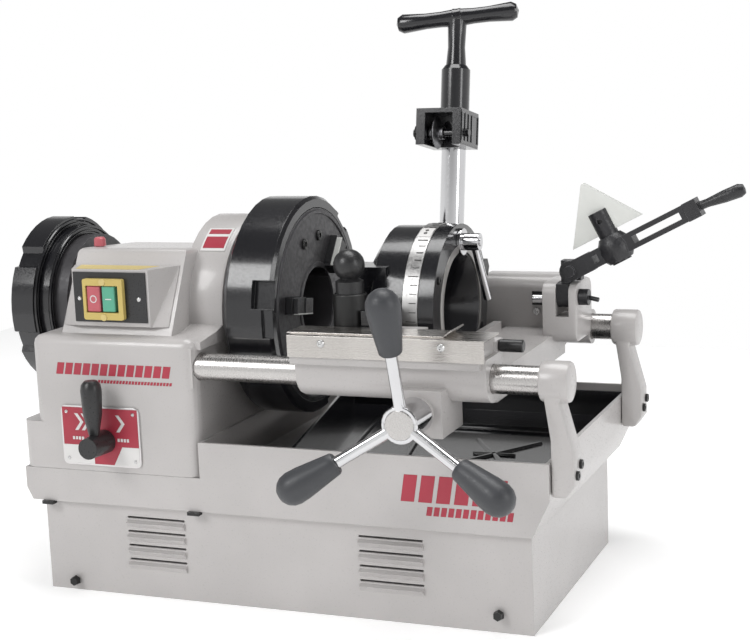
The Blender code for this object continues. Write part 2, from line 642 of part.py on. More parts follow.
def rear_chuck():
    axis = (REAR_FACE, SPINDLE_Y, SPINDLE_Z)
    drum = [
        (REAR_RADIUS, REAR_BACK),
        (REAR_RADIUS, REAR_FACE),
        (REAR_BORE, REAR_FACE),
        (REAR_BORE, REAR_STEP),
        (SPINDLE_RADIUS + 2 * GAP, REAR_STEP),
        (SPINDLE_RADIUS + 2 * GAP, REAR_BACK),
    ]
    body = part("rear_chuck_body", spindle_turned(drum), CHUCK_FINISH, axis)
    rim = prism(notched(REAR_RING_RADIUS, 0.0055, 6, 22, 16), "X", REAR_FACE, REAR_RING_BACK - 0.012)
    ring = part("rear_chuck_ring", rim, BLACK_PAINT, axis)
    join(ring, spindle_bar(REAR_FACE + 0.006, REAR_RING_BACK, REAR_RING_RADIUS - 0.0090, FINE_SIDES))
    cut(ring, spindle_bar(-0.4, -0.2, REAR_RADIUS + 0.0006, FINE_SIDES))
    for number, angle in enumerate(JAW_ANGLES, 1):
        outer = REAR_JAW_INNER + REAR_JAW_LENGTH
        slot_x = (REAR_FACE - 0.01, REAR_FACE + 0.0153)
        cut(body, radial_block(slot_x, 0.030, outer + 0.001, REAR_JAW_WIDTH + 2 * GAP, angle))
        jaw_x = (REAR_FACE + 0.0005, REAR_FACE + 0.015)
        part(
            f"rear_jaw_{number}", radial_block(jaw_x, REAR_JAW_INNER, outer, REAR_JAW_WIDTH, angle), TOOL_STEEL,
        )


def guide_rods():
    front = part("front_rod", along("X", ROD_LEFT, ROD_RIGHT, (FRONT_ROD_Y, ROD_Z), ROD_RADIUS), POLISHED)
    pitch = math.pi * FEED_MODULE
    floor, root = ROD_Z - ROD_RADIUS, ROD_Z - ROD_RADIUS + 0.0046
    for step in range(-RACK_HALF_COUNT - 2, RACK_HALF_COUNT - 4):
        x = FEED_X + step * pitch
        gap = [
            (x - 0.0024, floor - 0.001), (x + 0.0024, floor - 0.001), (x + 0.0012, root), (x - 0.0012, root),
        ]
        cut(front, prism(gap, "Y", FRONT_ROD_Y - 0.015, FRONT_ROD_Y + 0.015))
    part("rear_rod", along("X", ROD_LEFT, ROD_RIGHT, (REAR_ROD_Y, ROD_Z), ROD_RADIUS), POLISHED)


def rod_bracket(name, y):
    """A rod's end boss on a leg that is screwed to the bed's right wall."""
    foot = BED_RIGHT + GAP
    leg = [
        (0.2505, ROD_Z),
        (0.2535, 0.203),
        (foot, 0.172),
        (foot, 0.1235),
        (0.2715, 0.1235),
        (0.2785, 0.134),
        (0.2785, 0.161),
        (0.2665, 0.205),
        (BRACKET_RIGHT - 0.001, ROD_Z),
    ]
    obj = part(name, prism(leg, "Y", y - BRACKET_HALF, y + BRACKET_HALF), PAINT)
    bevel(obj, 0.003, 2)
    join(obj, soften(along("X", BRACKET_LEFT, BRACKET_RIGHT, (y, ROD_Z), BRACKET_RADIUS), 0.0025))
    cut(obj, along("X", BRACKET_LEFT - 0.01, ROD_RIGHT + GAP, (y, ROD_Z), ROD_BORE))


def carriage():
    """The saddle on both rods: front housing, bridge, rear housing and the reamer's clevis."""
    left, right = CARRIAGE_LEFT, CARRIAGE_RIGHT
    centre = (FRONT_ROD_Y, ROD_Z)
    housing = arc(centre, HOUSING_RADIUS, 180, 360, 10)
    housing += [(FRONT_ROD_Y + HOUSING_RADIUS, 0.240), (FRONT_ROD_Y - HOUSING_RADIUS, 0.240)]
    shell = soften(prism(housing, "X", left, right), 0.004, -WORLD, (left + GAP, 1, 0.230))
    obj = part("carriage", shell, PAINT)
    rear = rounded((0.108, 0.156), (0.199, CLEVIS_TOP), 0.012, 3)
    clevis = rounded((0.066, 0.127), (0.2150, CLEVIS_TOP), 0.010, 3)
    seat_y = (-0.112, -0.0835)
    join(
        obj,
        block((left - 0.001, right - 0.004), (-0.1497, -0.106), (0.232, PAD_TOP)),
        block((0.050, 0.135), seat_y, (0.215, PAD_TOP - 0.0002)),
        block((FEED_X - 0.0205, FEED_X + 0.0205), (-0.1570, -0.104), (FEED_Z - 0.0215, 0.215)),
        along("Y", HUB_BACK + 0.0005, -0.150, (FEED_X, FEED_Z), 0.0132),
        block((0.146, right - 0.002), (-0.110, 0.112), (0.197, 0.222)),
        block((0.1425, 0.150), (-0.082, 0.082), (0.1975, 0.232)),
        prism(rear, "X", 0.122, CLEVIS_LEFT + 0.001),
        soften(prism(clevis, "X", CLEVIS_LEFT, CLEVIS_RIGHT), 0.003, (CLEVIS_RIGHT - GAP, -1, -1)),
        along("X", CLEVIS_LEFT - 0.002, CLEVIS_RIGHT - 0.001, (REAR_ROD_Y, ROD_Z), 0.0170),
        block((0.188, 0.204), (-0.110, -0.088), (0.220, 0.2493)),
    )
    cut(
        obj,
        block((BLOCK_LEFT - GAP, BLOCK_RIGHT + GAP), (0.050, 0.100), (0.2405, 0.300)),
        along("X", 0.180, 0.240, (CLEVIS_Y, CLEVIS_Z), 0.0043, SMALL_SIDES),
        along("X", 0.000, 0.300, centre, ROD_BORE),
        along("X", 0.000, 0.300, (REAR_ROD_Y, ROD_Z), ROD_BORE),
        along("Y", -0.1345, -0.1125, (FEED_X, FEED_Z), 0.0175, 24),
        along("Y", -0.170, -0.1035, (FEED_X, FEED_Z), FEED_RADIUS + 2 * GAP, 24),
        spindle_bar(0.140, 0.220, 0.036),
        along("X", 0.196, 0.220, (LATCH_Y, LATCH_Z), 0.0033, SMALL_SIDES),
    )


def splash_cover():
    """A stainless angle strip along the top front edge of the carriage."""
    front, back, low = -0.1515, -0.1085, 0.2385
    inner, under = front + 0.0015, PAD_TOP + GAP
    strip = [
        (front, low), (inner, low), (inner, under), (back, under), (back, under + 0.0015), (front, under + 0.0015),
    ]
    part("splash_cover", prism(strip, "X", 0.0295, 0.208), STAINLESS)


def trip_post():
    """A post with a ball knob that trips the die head at the end of a thread."""
    base = (TRIP_X, TRIP_Y, PAD_TOP + GAP)
    centre = (0, TRIP_TOP - base[2] - TRIP_RADIUS)
    ball = arc(centre, TRIP_RADIUS, 90, -55, 9)
    profile = [(0, ball[0][1])] + ball[1:]
    shoulder = centre[1] - TRIP_RADIUS
    profile += [(TRIP_RADIUS - 0.0015, shoulder), (TRIP_RADIUS - 0.0015, 0), (0, 0)]
    part("trip_post", turned(profile, base, (0, 0, 1), 24), BLACK_PLASTIC, base)


def carriage_knob():
    axis = (LATCH_LEFT, LATCH_Y, LATCH_Z)
    obj = part(
        "carriage_knob", along("X", LATCH_LEFT, LATCH_RIGHT, (LATCH_Y, LATCH_Z), 0.0055, 20), BLACK_PLASTIC, axis,
    )
    bevel(obj, 0.001, 1)
    join(obj, along("X", 0.1965, LATCH_LEFT + 0.002, (LATCH_Y, LATCH_Z), 0.0029, SMALL_SIDES))


def feed_shaft():
    radius = FEED_MODULE * FEED_TEETH / 2
    axis = (FEED_X, -0.1045, FEED_Z)
    shaft = along("Y", HUB_FRONT + 0.0040, -0.1045, (FEED_X, FEED_Z), FEED_RADIUS, 24)
    obj = part("feed_shaft", shaft, TOOL_STEEL, axis)
    teeth = toothed(FEED_TEETH, radius - 0.0023, radius + 0.0017, (FEED_X, FEED_Z), math.pi / 2)
    join(obj, prism(teeth, "Y", -0.1335, -0.1135))


def spoke_point(number, distance):
    """A point along a spoke, which leans towards the operator."""
    angle = SPOKE_PHASE + number * 2 * math.pi / 3
    reach = distance * math.cos(SPOKE_LEAN)
    return Vector((
        FEED_X + reach * math.cos(angle),
        SPOKE_Y - distance * math.sin(SPOKE_LEAN),
        FEED_Z + reach * math.sin(angle),
    ))


def handwheel():
    axis = (FEED_X, HUB_BACK, FEED_Z)
    obj = part("handwheel", along("Y", HUB_FRONT, HUB_BACK, (FEED_X, FEED_Z), HUB_RADIUS), CHROME, axis)
    bevel(obj, 0.0008, 1)
    for number in range(3):
        join(obj, bar(spoke_point(number, 0.004), spoke_point(number, SPOKE_END), SPOKE_RADIUS, sides=20))
    cut(obj, along("Y", HUB_FRONT + 0.0036, -0.150, (FEED_X, FEED_Z), FEED_RADIUS + 2 * GAP, 24))
    for number in range(3):
        handwheel_knob(number)


def handwheel_knob(number):
    start, end = spoke_point(number, KNOB_START), spoke_point(number, KNOB_END)
    length = KNOB_END - KNOB_START
    profile = [
        (0, length),
        (0.0062, length - 0.0014),
        (0.0106, length - 0.0046),
        (0.0134, length - 0.0092),
        (0.0145, length - 0.0148),
        (0.0140, length - 0.0240),
        (0.0104, 0.006),
        (0.0098, 0.0015),
        (0.0085, 0),
        (0, 0),
    ]
    obj = part(f"handwheel_knob_{number + 1}", turned(profile, start, end - start, 20), KNOB_PLASTIC, start)
    inner, outer = spoke_point(number, KNOB_START - 0.01), spoke_point(number, SPOKE_END + GAP)
    cut(obj, bar(inner, outer, SPOKE_RADIUS + GAP, sides=20))


def die_head():
    axis = (DIE_FACE, SPINDLE_Y, SPINDLE_Z)
    profile = [
        (0.0780, DIE_FACE),
        (0.0780, DIE_RING_RIGHT),
        (DIE_HUB_RADIUS, DIE_RING_RIGHT),
        (DIE_HUB_RADIUS, DIE_RING_LEFT),
        (0.0765, DIE_RING_LEFT),
        (0.0765, 0.078),
        (0.0600, DIE_BACK),
        (0.0340, DIE_BACK),
        (0.0340, 0.104),
        (0.0510, DIE_FACE),
    ]
    body = part("die_head_body", spindle_turned(profile), BLACK_PAINT, axis)
    join(
        body,
        block((0.052, 0.090), (-0.066, -0.032), (0.277, 0.305)),
        block((0.081, 0.1065), (-0.106, -0.066), (PAD_TOP + GAP, 0.272)),
    )
    cut(body, along("X", 0.124, 0.150, (LEVER_Y, LEVER_Z), 0.0043, SMALL_SIDES))
    gap = GAP
    ring = [
        (DIE_RING_RADIUS, DIE_RING_RIGHT - gap),
        (DIE_RING_RADIUS, DIE_RING_LEFT + gap),
        (DIE_HUB_RADIUS + 0.0006, DIE_RING_LEFT + gap),
        (DIE_HUB_RADIUS + 0.0006, DIE_RING_RIGHT - gap),
    ]
    part("die_head_scale_ring", spindle_turned(ring), POLISHED, axis)
    for number in range(4):
        angle = 45 + 90 * number
        x = (DIE_X - DIE_THICKNESS / 2, DIE_X + DIE_THICKNESS / 2)
        slot_x = (x[0] - GAP, x[1] + GAP)
        outer = DIE_INNER + DIE_LENGTH
        cut(body, radial_block(slot_x, 0.025, outer + 0.005, DIE_WIDTH + 2 * GAP, angle))
        part(f"die_{number + 1}", radial_block(x, DIE_INNER, outer, DIE_WIDTH, angle), TOOL_STEEL)


def die_head_lever():
    axis = (DIE_FACE + GAP, LEVER_Y, LEVER_Z)
    obj = part(
        "die_head_lever", along("X", DIE_FACE + GAP, 0.1405, (LEVER_Y, LEVER_Z), 0.0125, 24), CHROME, axis,
    )
    join(
        obj,
        along("X", 0.125, 0.157, (LEVER_Y, LEVER_Z), 0.0038, SMALL_SIDES),
        along("X", 0.140, 0.156, (LEVER_Y, LEVER_Z), 0.0080, 20),
        bar((0.150, LEVER_Y, LEVER_Z), (0.152, 0.036, 0.2625), 0.0036, 0.0042, 16),
    )


def hinge_bracket():
    """A clamp on the rear rod's left side with the pin that the pipe cutter swings on."""
    x = (0.1085, 0.1217)
    obj = part("hinge_bracket", block(x, (0.084, 0.152), (0.203, 0.240)), BLACK_CAST)
    join(
        obj,
        block(x, (0.084, 0.112), (0.236, HINGE_Z)),
        along("X", *x, (HINGE_Y, HINGE_Z), 0.014, 24),
        along("X", 0.0785, 0.1310, (HINGE_Y, HINGE_Z), HINGE_PIN, 20),
        along("X", 0.1210, 0.1310, (HINGE_Y, HINGE_Z), 0.0095, 6),
    )
    cut(obj, along("X", 0.100, 0.130, (REAR_ROD_Y, ROD_Z), ROD_BORE))


def lean(mesh):
    """Tips a piece of the upright cutter back about its hinge."""
    hinge = Matrix.Translation((0, HINGE_Y, HINGE_Z))
    mesh.transform(hinge @ Matrix.Rotation(CUTTER_LEAN, 4, "X") @ hinge.inverted())
    return mesh


def leaning(point):
    """Where a point of the upright cutter lies once the cutter is tipped back."""
    hinge = Vector((0, HINGE_Y, HINGE_Z))
    return hinge + Matrix.Rotation(CUTTER_LEAN, 3, "X") @ (Vector(point) - hinge)


def cutter_base():
    """The cutter's swinging foot: knuckle, post socket and the cheeks that hold the rollers."""
    left, right, cheek_width = 0.0800, 0.1080, 0.0045
    cheek = [(0.096, 0.272), (0.096, 0.318), (0.073, 0.318), (0.073, 0.306), (0.082, 0.288)]
    axis = (POST_X, HINGE_Y, HINGE_Z)
    knuckle = along("X", left, right, (HINGE_Y, HINGE_Z), 0.014, 24)
    obj = part("cutter_base", lean(knuckle), BLACK_CAST, axis)
    join(
        obj,
        lean(along("Z", 0.272, 0.3045, (POST_X, POST_Y), 0.0138)),
        lean(prism(cheek, "X", left + 0.0005, left + cheek_width)),
        lean(prism(cheek, "X", right - cheek_width, right - 0.0005)),
    )
    cut(
        obj,
        along("X", 0.060, 0.120, (HINGE_Y, HINGE_Z), HINGE_PIN + 2 * GAP, 20),
        lean(along("Z", POST_FOOT - GAP, 0.330, (POST_X, POST_Y), POST_RADIUS + GAP)),
    )
    join(obj, lean(along("X", left + 0.001, right - 0.001, (ROLLER_Y, ROLLER_Z), 0.003, SMALL_SIDES)))


def cutter_post():
    post = along("Z", POST_FOOT, POST_TOP, (POST_X, POST_Y), POST_RADIUS)
    obj = part("cutter_post", lean(post), CHROME)
    cut(obj, lean(along("Z", 0.385, 0.500, (POST_X, POST_Y), 0.0056, SMALL_SIDES)))


def cutter_rollers():
    """Two rollers side by side on one pin, which back the pipe against the cutting wheel."""
    for number, left in enumerate(ROLLER_LEFTS, 1):
        right = left + ROLLER_WIDTH
        ring = [(ROLLER_RADIUS, right), (ROLLER_RADIUS, left), (0.0035, left), (0.0035, right)]
        mesh = turned(ring, (0, ROLLER_Y, ROLLER_Z), (1, 0, 0), 20)
        part(f"cutter_roller_{number}", lean(mesh), TOOL_STEEL, leaning((left, ROLLER_Y, ROLLER_Z)))


def cutter_slide():
    """The sleeve on the post, with the fork and pin that carry the cutting wheel."""
    centre = (POST_X, POST_Y)
    sleeve = along("Z", 0.399, SLEEVE_TOP - 0.004, centre, SLEEVE_RADIUS)
    obj = part("cutter_slide", lean(sleeve), BLACK_PAINT, leaning((*centre, 0.399)))
    fork_x, fork_z = (0.070, 0.1155), (0.3985, 0.4335)
    join(
        obj,
        lean(bar((*centre, SLEEVE_TOP - 0.0045), (*centre, SLEEVE_TOP), SLEEVE_RADIUS, 0.0110)),
        lean(block(fork_x, (0.054, 0.108), fork_z)),
    )
    cut(
        obj,
        lean(along("Z", 0.380, 0.476, centre, POST_RADIUS + GAP)),
        lean(along("Z", 0.470, 0.500, centre, 0.0056, SMALL_SIDES)),
        lean(block((WHEEL_X - 0.0080, WHEEL_X + 0.0200), (0.040, 0.0845), (0.380, 0.4290))),
    )
    join(obj, lean(along("X", 0.063, 0.1195, (WHEEL_Y, WHEEL_Z), 0.0040, SMALL_SIDES)))


def cutter_wheel():
    profile = [
        (0.0065, 0.0070),
        (0.0065, 0.0028),
        (0.0120, 0.0024),
        (WHEEL_RADIUS, 0.0003),
        (WHEEL_RADIUS, -0.0003),
        (0.0120, -0.0024),
        (0.0065, -0.0028),
        (0.0065, -0.0070),
        (0.0045, -0.0070),
        (0.0045, 0.0070),
    ]
    centre = (WHEEL_X, WHEEL_Y, WHEEL_Z)
    part("cutter_wheel", lean(turned(profile, centre, (1, 0, 0), 28)), TOOL_STEEL, leaning(centre))


def cutter_screw():
    """The feed screw with its cross handle."""
    base = (POST_X, POST_Y, SLEEVE_TOP)
    stem = [
        (0, 0.045),
        (0.0095, 0.045),
        (0.0085, 0.018),
        (0.0100, GAP),
        (0.0050, GAP),
        (0.0050, -0.055),
        (0, -0.055),
    ]
    obj = part("cutter_screw", lean(turned(stem, base, (0, 0, 1), 20)), BLACK_PAINT, leaning(base))
    end = TEE_RADIUS + 0.0018
    half = [
        (0, TEE_HALF), (end * 0.7, TEE_HALF - 0.002), (end, TEE_HALF - 0.007), (TEE_RADIUS, TEE_HALF - 0.030),
    ]
    half += [(TEE_RADIUS, 0.020), (0.0092, 0), (0, 0)]
    for side in (-1, 1):
        direction = side * Vector((math.cos(TEE_TURN), math.sin(TEE_TURN), math.tan(TEE_TILT))).normalized()
        start = Vector((POST_X, POST_Y, TEE_Z)) - 0.004 * direction
        join(obj, lean(turned(half, start, direction, 20)))


def arm_point(distance, height, y=ARM_Y):
    """A point along and above the reamer's arm."""
    cosine, sine = math.cos(ARM_ANGLE), math.sin(ARM_ANGLE)
    return Vector((ARM_X + distance * cosine - height * sine, y, ARM_Z + distance * sine + height * cosine))


def arm_prism(outline, low, high):
    """An outline of (distance, height) points on the arm, extruded along Y."""
    flat = [arm_point(distance, height) for distance, height in outline]
    return prism([(point.x, point.z) for point in flat], "Y", low, high)


def rectangle(first, second):
    return [(first[0], second[0]), (first[1], second[0]), (first[1], second[1]), (first[0], second[1])]


def reamer_block():
    """The upright that swings in the clevis and carries the arm's pivot."""
    axis = (BLOCK_LEFT, CLEVIS_Y, CLEVIS_Z)
    knuckle = along("X", BLOCK_LEFT, BLOCK_RIGHT, (CLEVIS_Y, CLEVIS_Z), 0.0100, 24)
    obj = part("reamer_block", knuckle, BLACK_CAST, axis)
    join(
        obj,
        block((BLOCK_LEFT, BLOCK_RIGHT), (0.0685, 0.0880), (CLEVIS_Z, 0.2715)),
        block((BLOCK_LEFT + 0.003, ARM_X + 0.0075), (0.0766, 0.0880), (0.2742, 0.2930)),
        block((BLOCK_LEFT + 0.003, BLOCK_RIGHT), (0.0770, 0.0878), (0.2700, 0.2800)),
    )
    cut(
        obj,
        along("X", 0.200, 0.230, (CLEVIS_Y, CLEVIS_Z), 0.0043, SMALL_SIDES),
        along("Y", 0.060, 0.095, (ARM_X - 0.0012, ARM_Z), 0.0041, SMALL_SIDES),
    )


def reamer_arm():
    """The slotted arm with its pivot pin, spindle collar, square end and handle."""
    front, back = 0.0675, 0.0855
    pivot = (ARM_X - 0.0012, ARM_Z)
    beam = arm_prism(rectangle((0.0135, 0.124), (-0.0082, 0.0082)), front, back)
    obj = part("reamer_arm", beam, BLACK_CAST, (pivot[0], ARM_Y, pivot[1]))
    handle = [
        (0, 0.0440),
        (0.0045, 0.0430),
        (0.0064, 0.0385),
        (0.0058, 0.024),
        (0.0040, 0.008),
        (0.0042, -0.004),
        (0, -0.004),
    ]
    collar = [
        (0, 0.0135), (0.0110, 0.0135), (0.0148, 0.0080), (0.0162, 0), (0.0150, -0.0075), (0.0118, -0.0120), (0, -0.0120),
    ]
    direction = arm_point(1, -HANDLE_BEND) - arm_point(0, 0)
    join(
        obj,
        along("Y", front, 0.0763, pivot, 0.0100, 24),
        arm_prism(rectangle((-0.001, 0.0225), (-0.0088, 0.0088)), front, 0.0763),
        turned(collar, arm_point(REAMER_ALONG, 0), arm_point(0, 1) - arm_point(0, 0), 24),
        arm_prism(rectangle((0.121, 0.134), (-0.0088, 0.0088)), front - 0.0005, back + 0.0005),
        turned(handle, arm_point(0.134, 0), direction, 16),
        along("Y", 0.0635, 0.0905, pivot, 0.0037, SMALL_SIDES),
        along("Y", 0.0635, front + 0.001, pivot, 0.0055, SMALL_SIDES),
    )
    cut(
        obj,
        arm_prism(rectangle((0.067, 0.116), (-0.0034, 0.0034)), 0.050, 0.100),
        arm_prism(rectangle((0.0245, 0.0295), (-0.0034, 0.0034)), 0.050, 0.100),
        bar(arm_point(REAMER_ALONG, -0.030), arm_point(REAMER_ALONG, 0.030), 0.0100, sides=24),
    )


def reamer_spindle():
    base = arm_point(REAMER_ALONG, -0.0135)
    tip = arm_point(REAMER_ALONG, 0.0385)
    obj = part("reamer_spindle", bar(base, tip, 0.0095, sides=24), BLACK_CAST, base)
    slot = rectangle((REAMER_ALONG - 0.020, REAMER_ALONG + 0.020), (BLADE_BASE - GAP, 0.060))
    hole = arm_point(REAMER_ALONG, 0.029)
    cut(
        obj,
        arm_prism(slot, ARM_Y - 0.0023, ARM_Y + 0.0023),
        along("Y", 0.060, ARM_Y - 0.0050, (hole.x, hole.z), 0.0026, SMALL_SIDES),
    )


def reamer_blade():
    outline = [
        (REAMER_ALONG - BLADE_HALF, BLADE_BASE),
        (REAMER_ALONG + BLADE_HALF, BLADE_BASE),
        (REAMER_ALONG + 0.0015, BLADE_TIP),
        (REAMER_ALONG - 0.0015, BLADE_TIP),
    ]
    part(
        "reamer_blade", arm_prism(outline, ARM_Y - 0.0020, ARM_Y + 0.0020), BLADE_STEEL, arm_point(REAMER_ALONG, BLADE_BASE),
    )


def clevis_screw():
    """The wing screw through the clevis, which is also the reamer's hinge pin."""
    centre = (CLEVIS_Y, CLEVIS_Z)
    pin = along("X", 0.1935, CLEVIS_RIGHT + 0.004, centre, 0.0040, SMALL_SIDES)
    obj = part("clevis_screw", pin, BLACK_CAST, (CLEVIS_RIGHT, *centre))
    join(
        obj,
        along("X", CLEVIS_RIGHT + GAP, CLEVIS_RIGHT + 0.0095, centre, 0.0078, 20),
        bar((CLEVIS_RIGHT + 0.007, *centre), (CLEVIS_RIGHT + 0.0190, 0.077, 0.2560), 0.0022, sides=12),
    )


def oil_pump():
    obj = part("oil_pump", block((0.100, 0.160), (0.020, 0.080), (SHEET + GAP, 0.040)), TOOL_STEEL)
    join(obj, along("Z", 0.038, 0.075, (0.130, 0.050), 0.022, 24))


def build():
    base_skirt()
    bed()
    chip_tray()
    headstock_casing()
    switch_box()
    switch()
    speed_plate()
    speed_lever()
    filler_cap()
    spindle()
    drive()
    chuck()
    rear_chuck()
    guide_rods()
    rod_bracket("front_rod_bracket", FRONT_ROD_Y)
    rod_bracket("rear_rod_bracket", REAR_ROD_Y)
    carriage()
    splash_cover()
    trip_post()
    carriage_knob()
    feed_shaft()
    handwheel()
    die_head()
    die_head_lever()
    hinge_bracket()
    cutter_base()
    cutter_post()
    cutter_rollers()
    cutter_slide()
    cutter_wheel()
    cutter_screw()
    reamer_block()
    reamer_arm()
    reamer_spindle()
    reamer_blade()
    clevis_screw()
    oil_pump()


build()
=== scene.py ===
"""Looks of the pipe threading machine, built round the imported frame. Metres, +Z up."""

import json
import math

import bmesh
import bpy
from mathutils import Matrix, Vector

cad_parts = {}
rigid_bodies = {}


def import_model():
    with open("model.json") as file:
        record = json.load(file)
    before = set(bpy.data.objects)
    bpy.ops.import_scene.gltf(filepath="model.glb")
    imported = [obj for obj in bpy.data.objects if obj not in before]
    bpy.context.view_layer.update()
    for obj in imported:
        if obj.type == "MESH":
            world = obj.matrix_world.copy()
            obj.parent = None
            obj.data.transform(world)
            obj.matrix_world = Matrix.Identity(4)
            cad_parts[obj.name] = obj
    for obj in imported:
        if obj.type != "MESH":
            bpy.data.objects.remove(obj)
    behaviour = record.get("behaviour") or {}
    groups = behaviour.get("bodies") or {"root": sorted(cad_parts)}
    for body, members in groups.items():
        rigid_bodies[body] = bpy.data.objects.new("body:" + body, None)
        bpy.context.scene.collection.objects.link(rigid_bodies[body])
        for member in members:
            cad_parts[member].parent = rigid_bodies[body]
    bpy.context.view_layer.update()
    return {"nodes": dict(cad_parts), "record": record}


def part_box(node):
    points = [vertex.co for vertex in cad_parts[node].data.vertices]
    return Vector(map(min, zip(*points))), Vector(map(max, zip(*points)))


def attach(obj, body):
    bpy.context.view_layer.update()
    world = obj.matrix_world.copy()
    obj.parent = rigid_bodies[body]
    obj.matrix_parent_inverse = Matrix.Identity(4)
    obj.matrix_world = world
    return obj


CAMERA_PLACE = (0.6111, -1.3777, 0.5017)
CAMERA_YAW, CAMERA_PITCH, CAMERA_ROLL = math.radians(22.12), math.radians(9.8), math.radians(2.3)
CAMERA_LENS, SENSOR = 76.64, 36
EDGE_ROUNDING = 0.0007
SMOOTH_ANGLE = math.radians(35)
WELD = 1e-5
DECAL = 0.0002
FLOOR_HALF = 1.15
UP = Vector((0, 0, 1))
TO_FRONT, TO_RIGHT, TO_LEFT = (0, -1, 0), (1, 0, 0), (-1, 0, 0)
ALONG = {"X": Vector((1, 0, 0)), "Y": Vector((0, 1, 0)), "Z": UP}
PLANE = {"X": (1, 2), "Y": (0, 2), "Z": (0, 1)}


def clear_scene():
    for obj in list(bpy.data.objects):
        bpy.data.objects.remove(obj, do_unlink=True)


clear_scene()
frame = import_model()
NODES = frame["nodes"]


def middle(node):
    low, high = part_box(node)
    return (low + high) / 2


SPINDLE = middle("spindle_tube")
ANCHORS = {
    joint["name"]: Vector(joint["pos_m"])
    for joint in frame["record"]["behaviour"]["joints"]
    if "pos_m" in joint
}


# ---------------------------------------------------------------- materials


class Graph:
    """A material's nodes, with short calls to add and link them."""

    def __init__(self, name):
        self.material = bpy.data.materials.new(name)
        self.material.use_nodes = True
        self.tree = self.material.node_tree
        self.shader = self.tree.nodes["Principled BSDF"]

    def add(self, kind, **settings):
        node = self.tree.nodes.new(kind)
        for key, value in settings.items():
            setattr(node, key, value)
        return node

    def link(self, source, target):
        self.tree.links.new(source, target)

    def noise(self, scale, stretch=(1, 1, 1), detail=4.0):
        place = self.add("ShaderNodeMapping")
        place.inputs["Scale"].default_value = stretch
        coordinates = self.add("ShaderNodeTexCoord")
        self.link(coordinates.outputs["Object"], place.inputs["Vector"])
        noise = self.add("ShaderNodeTexNoise")
        noise.inputs["Scale"].default_value = scale
        noise.inputs["Detail"].default_value = detail
        self.link(place.outputs["Vector"], noise.inputs["Vector"])
        return noise.outputs["Fac"]

    def spread(self, value, low, high, start=0.35, end=0.65):
        """Maps a value between start and end to a range."""
        node = self.add("ShaderNodeMapRange")
        node.inputs["From Min"].default_value = start
        node.inputs["From Max"].default_value = end
        node.inputs["To Min"].default_value = low
        node.inputs["To Max"].default_value = high
        self.link(value, node.inputs["Value"])
        return node.outputs["Result"]

    def blend(self, factor, first, second):
        """Mixes two colours, each a value or a socket."""
        node = self.add("ShaderNodeMix", data_type="RGBA")
        self.link(factor, node.inputs["Factor"])
        for socket, color in ((node.inputs[6], first), (node.inputs[7], second)):
            if isinstance(color, tuple):
                socket.default_value = (*color, 1)
            else:
                self.link(color, socket)
        return node.outputs[2]

    def soft_normal(self, radius):
        node = self.add("ShaderNodeBevel", samples=6)
        node.inputs["Radius"].default_value = radius
        return node.outputs["Normal"]

    def edges(self, soft):
        """1 along outer edges and 0 on the flats, from the rounded normal."""
        true = self.add("ShaderNodeNewGeometry").outputs["Normal"]
        dot = self.add("ShaderNodeVectorMath", operation="DOT_PRODUCT")
        self.link(soft, dot.inputs[0])
        self.link(true, dot.inputs[1])
        return self.spread(dot.outputs["Value"], 0, 1, 0.985, 0.88)

    def times(self, first, second):
        node = self.add("ShaderNodeMath", operation="MULTIPLY")
        self.link(first, node.inputs[0])
        self.link(second, node.inputs[1])
        return node.outputs["Value"]


def shade(color, factor):
    return tuple(min(1, channel * factor) for channel in color)


def surface(name, color, roughness, metallic=0.0, grain=400, bump=0.1, depth=0.0002, stretch=(1, 1, 1),
            vary=0.10, wear=None, coat=0.0):
    """A material with colour clouds, roughness grain, bump, rounded edges and optional edge wear."""
    graph = Graph(name)
    shader = graph.shader
    clouds = graph.noise(14, detail=6)
    fine = graph.noise(grain, stretch, 3)
    tint = graph.blend(graph.spread(clouds, 0, 1), shade(color, 1 - vary), shade(color, 1 + vary))
    soft = graph.soft_normal(EDGE_ROUNDING)
    if wear:
        patches = graph.spread(graph.noise(90), 0, 1, 0.42, 0.58)
        tint = graph.blend(graph.times(graph.edges(soft), patches), tint, wear)
    graph.link(tint, shader.inputs["Base Color"])
    graph.link(graph.spread(fine, roughness * 0.8, roughness * 1.25), shader.inputs["Roughness"])
    relief = graph.add("ShaderNodeBump")
    relief.inputs["Strength"].default_value = bump
    relief.inputs["Distance"].default_value = depth
    graph.link(fine, relief.inputs["Height"])
    graph.link(soft, relief.inputs["Normal"])
    graph.link(relief.outputs["Normal"], shader.inputs["Normal"])
    shader.inputs["Metallic"].default_value = metallic
    shader.inputs["Coat Weight"].default_value = coat
    shader.inputs["Coat Roughness"].default_value = 0.08
    return graph.material


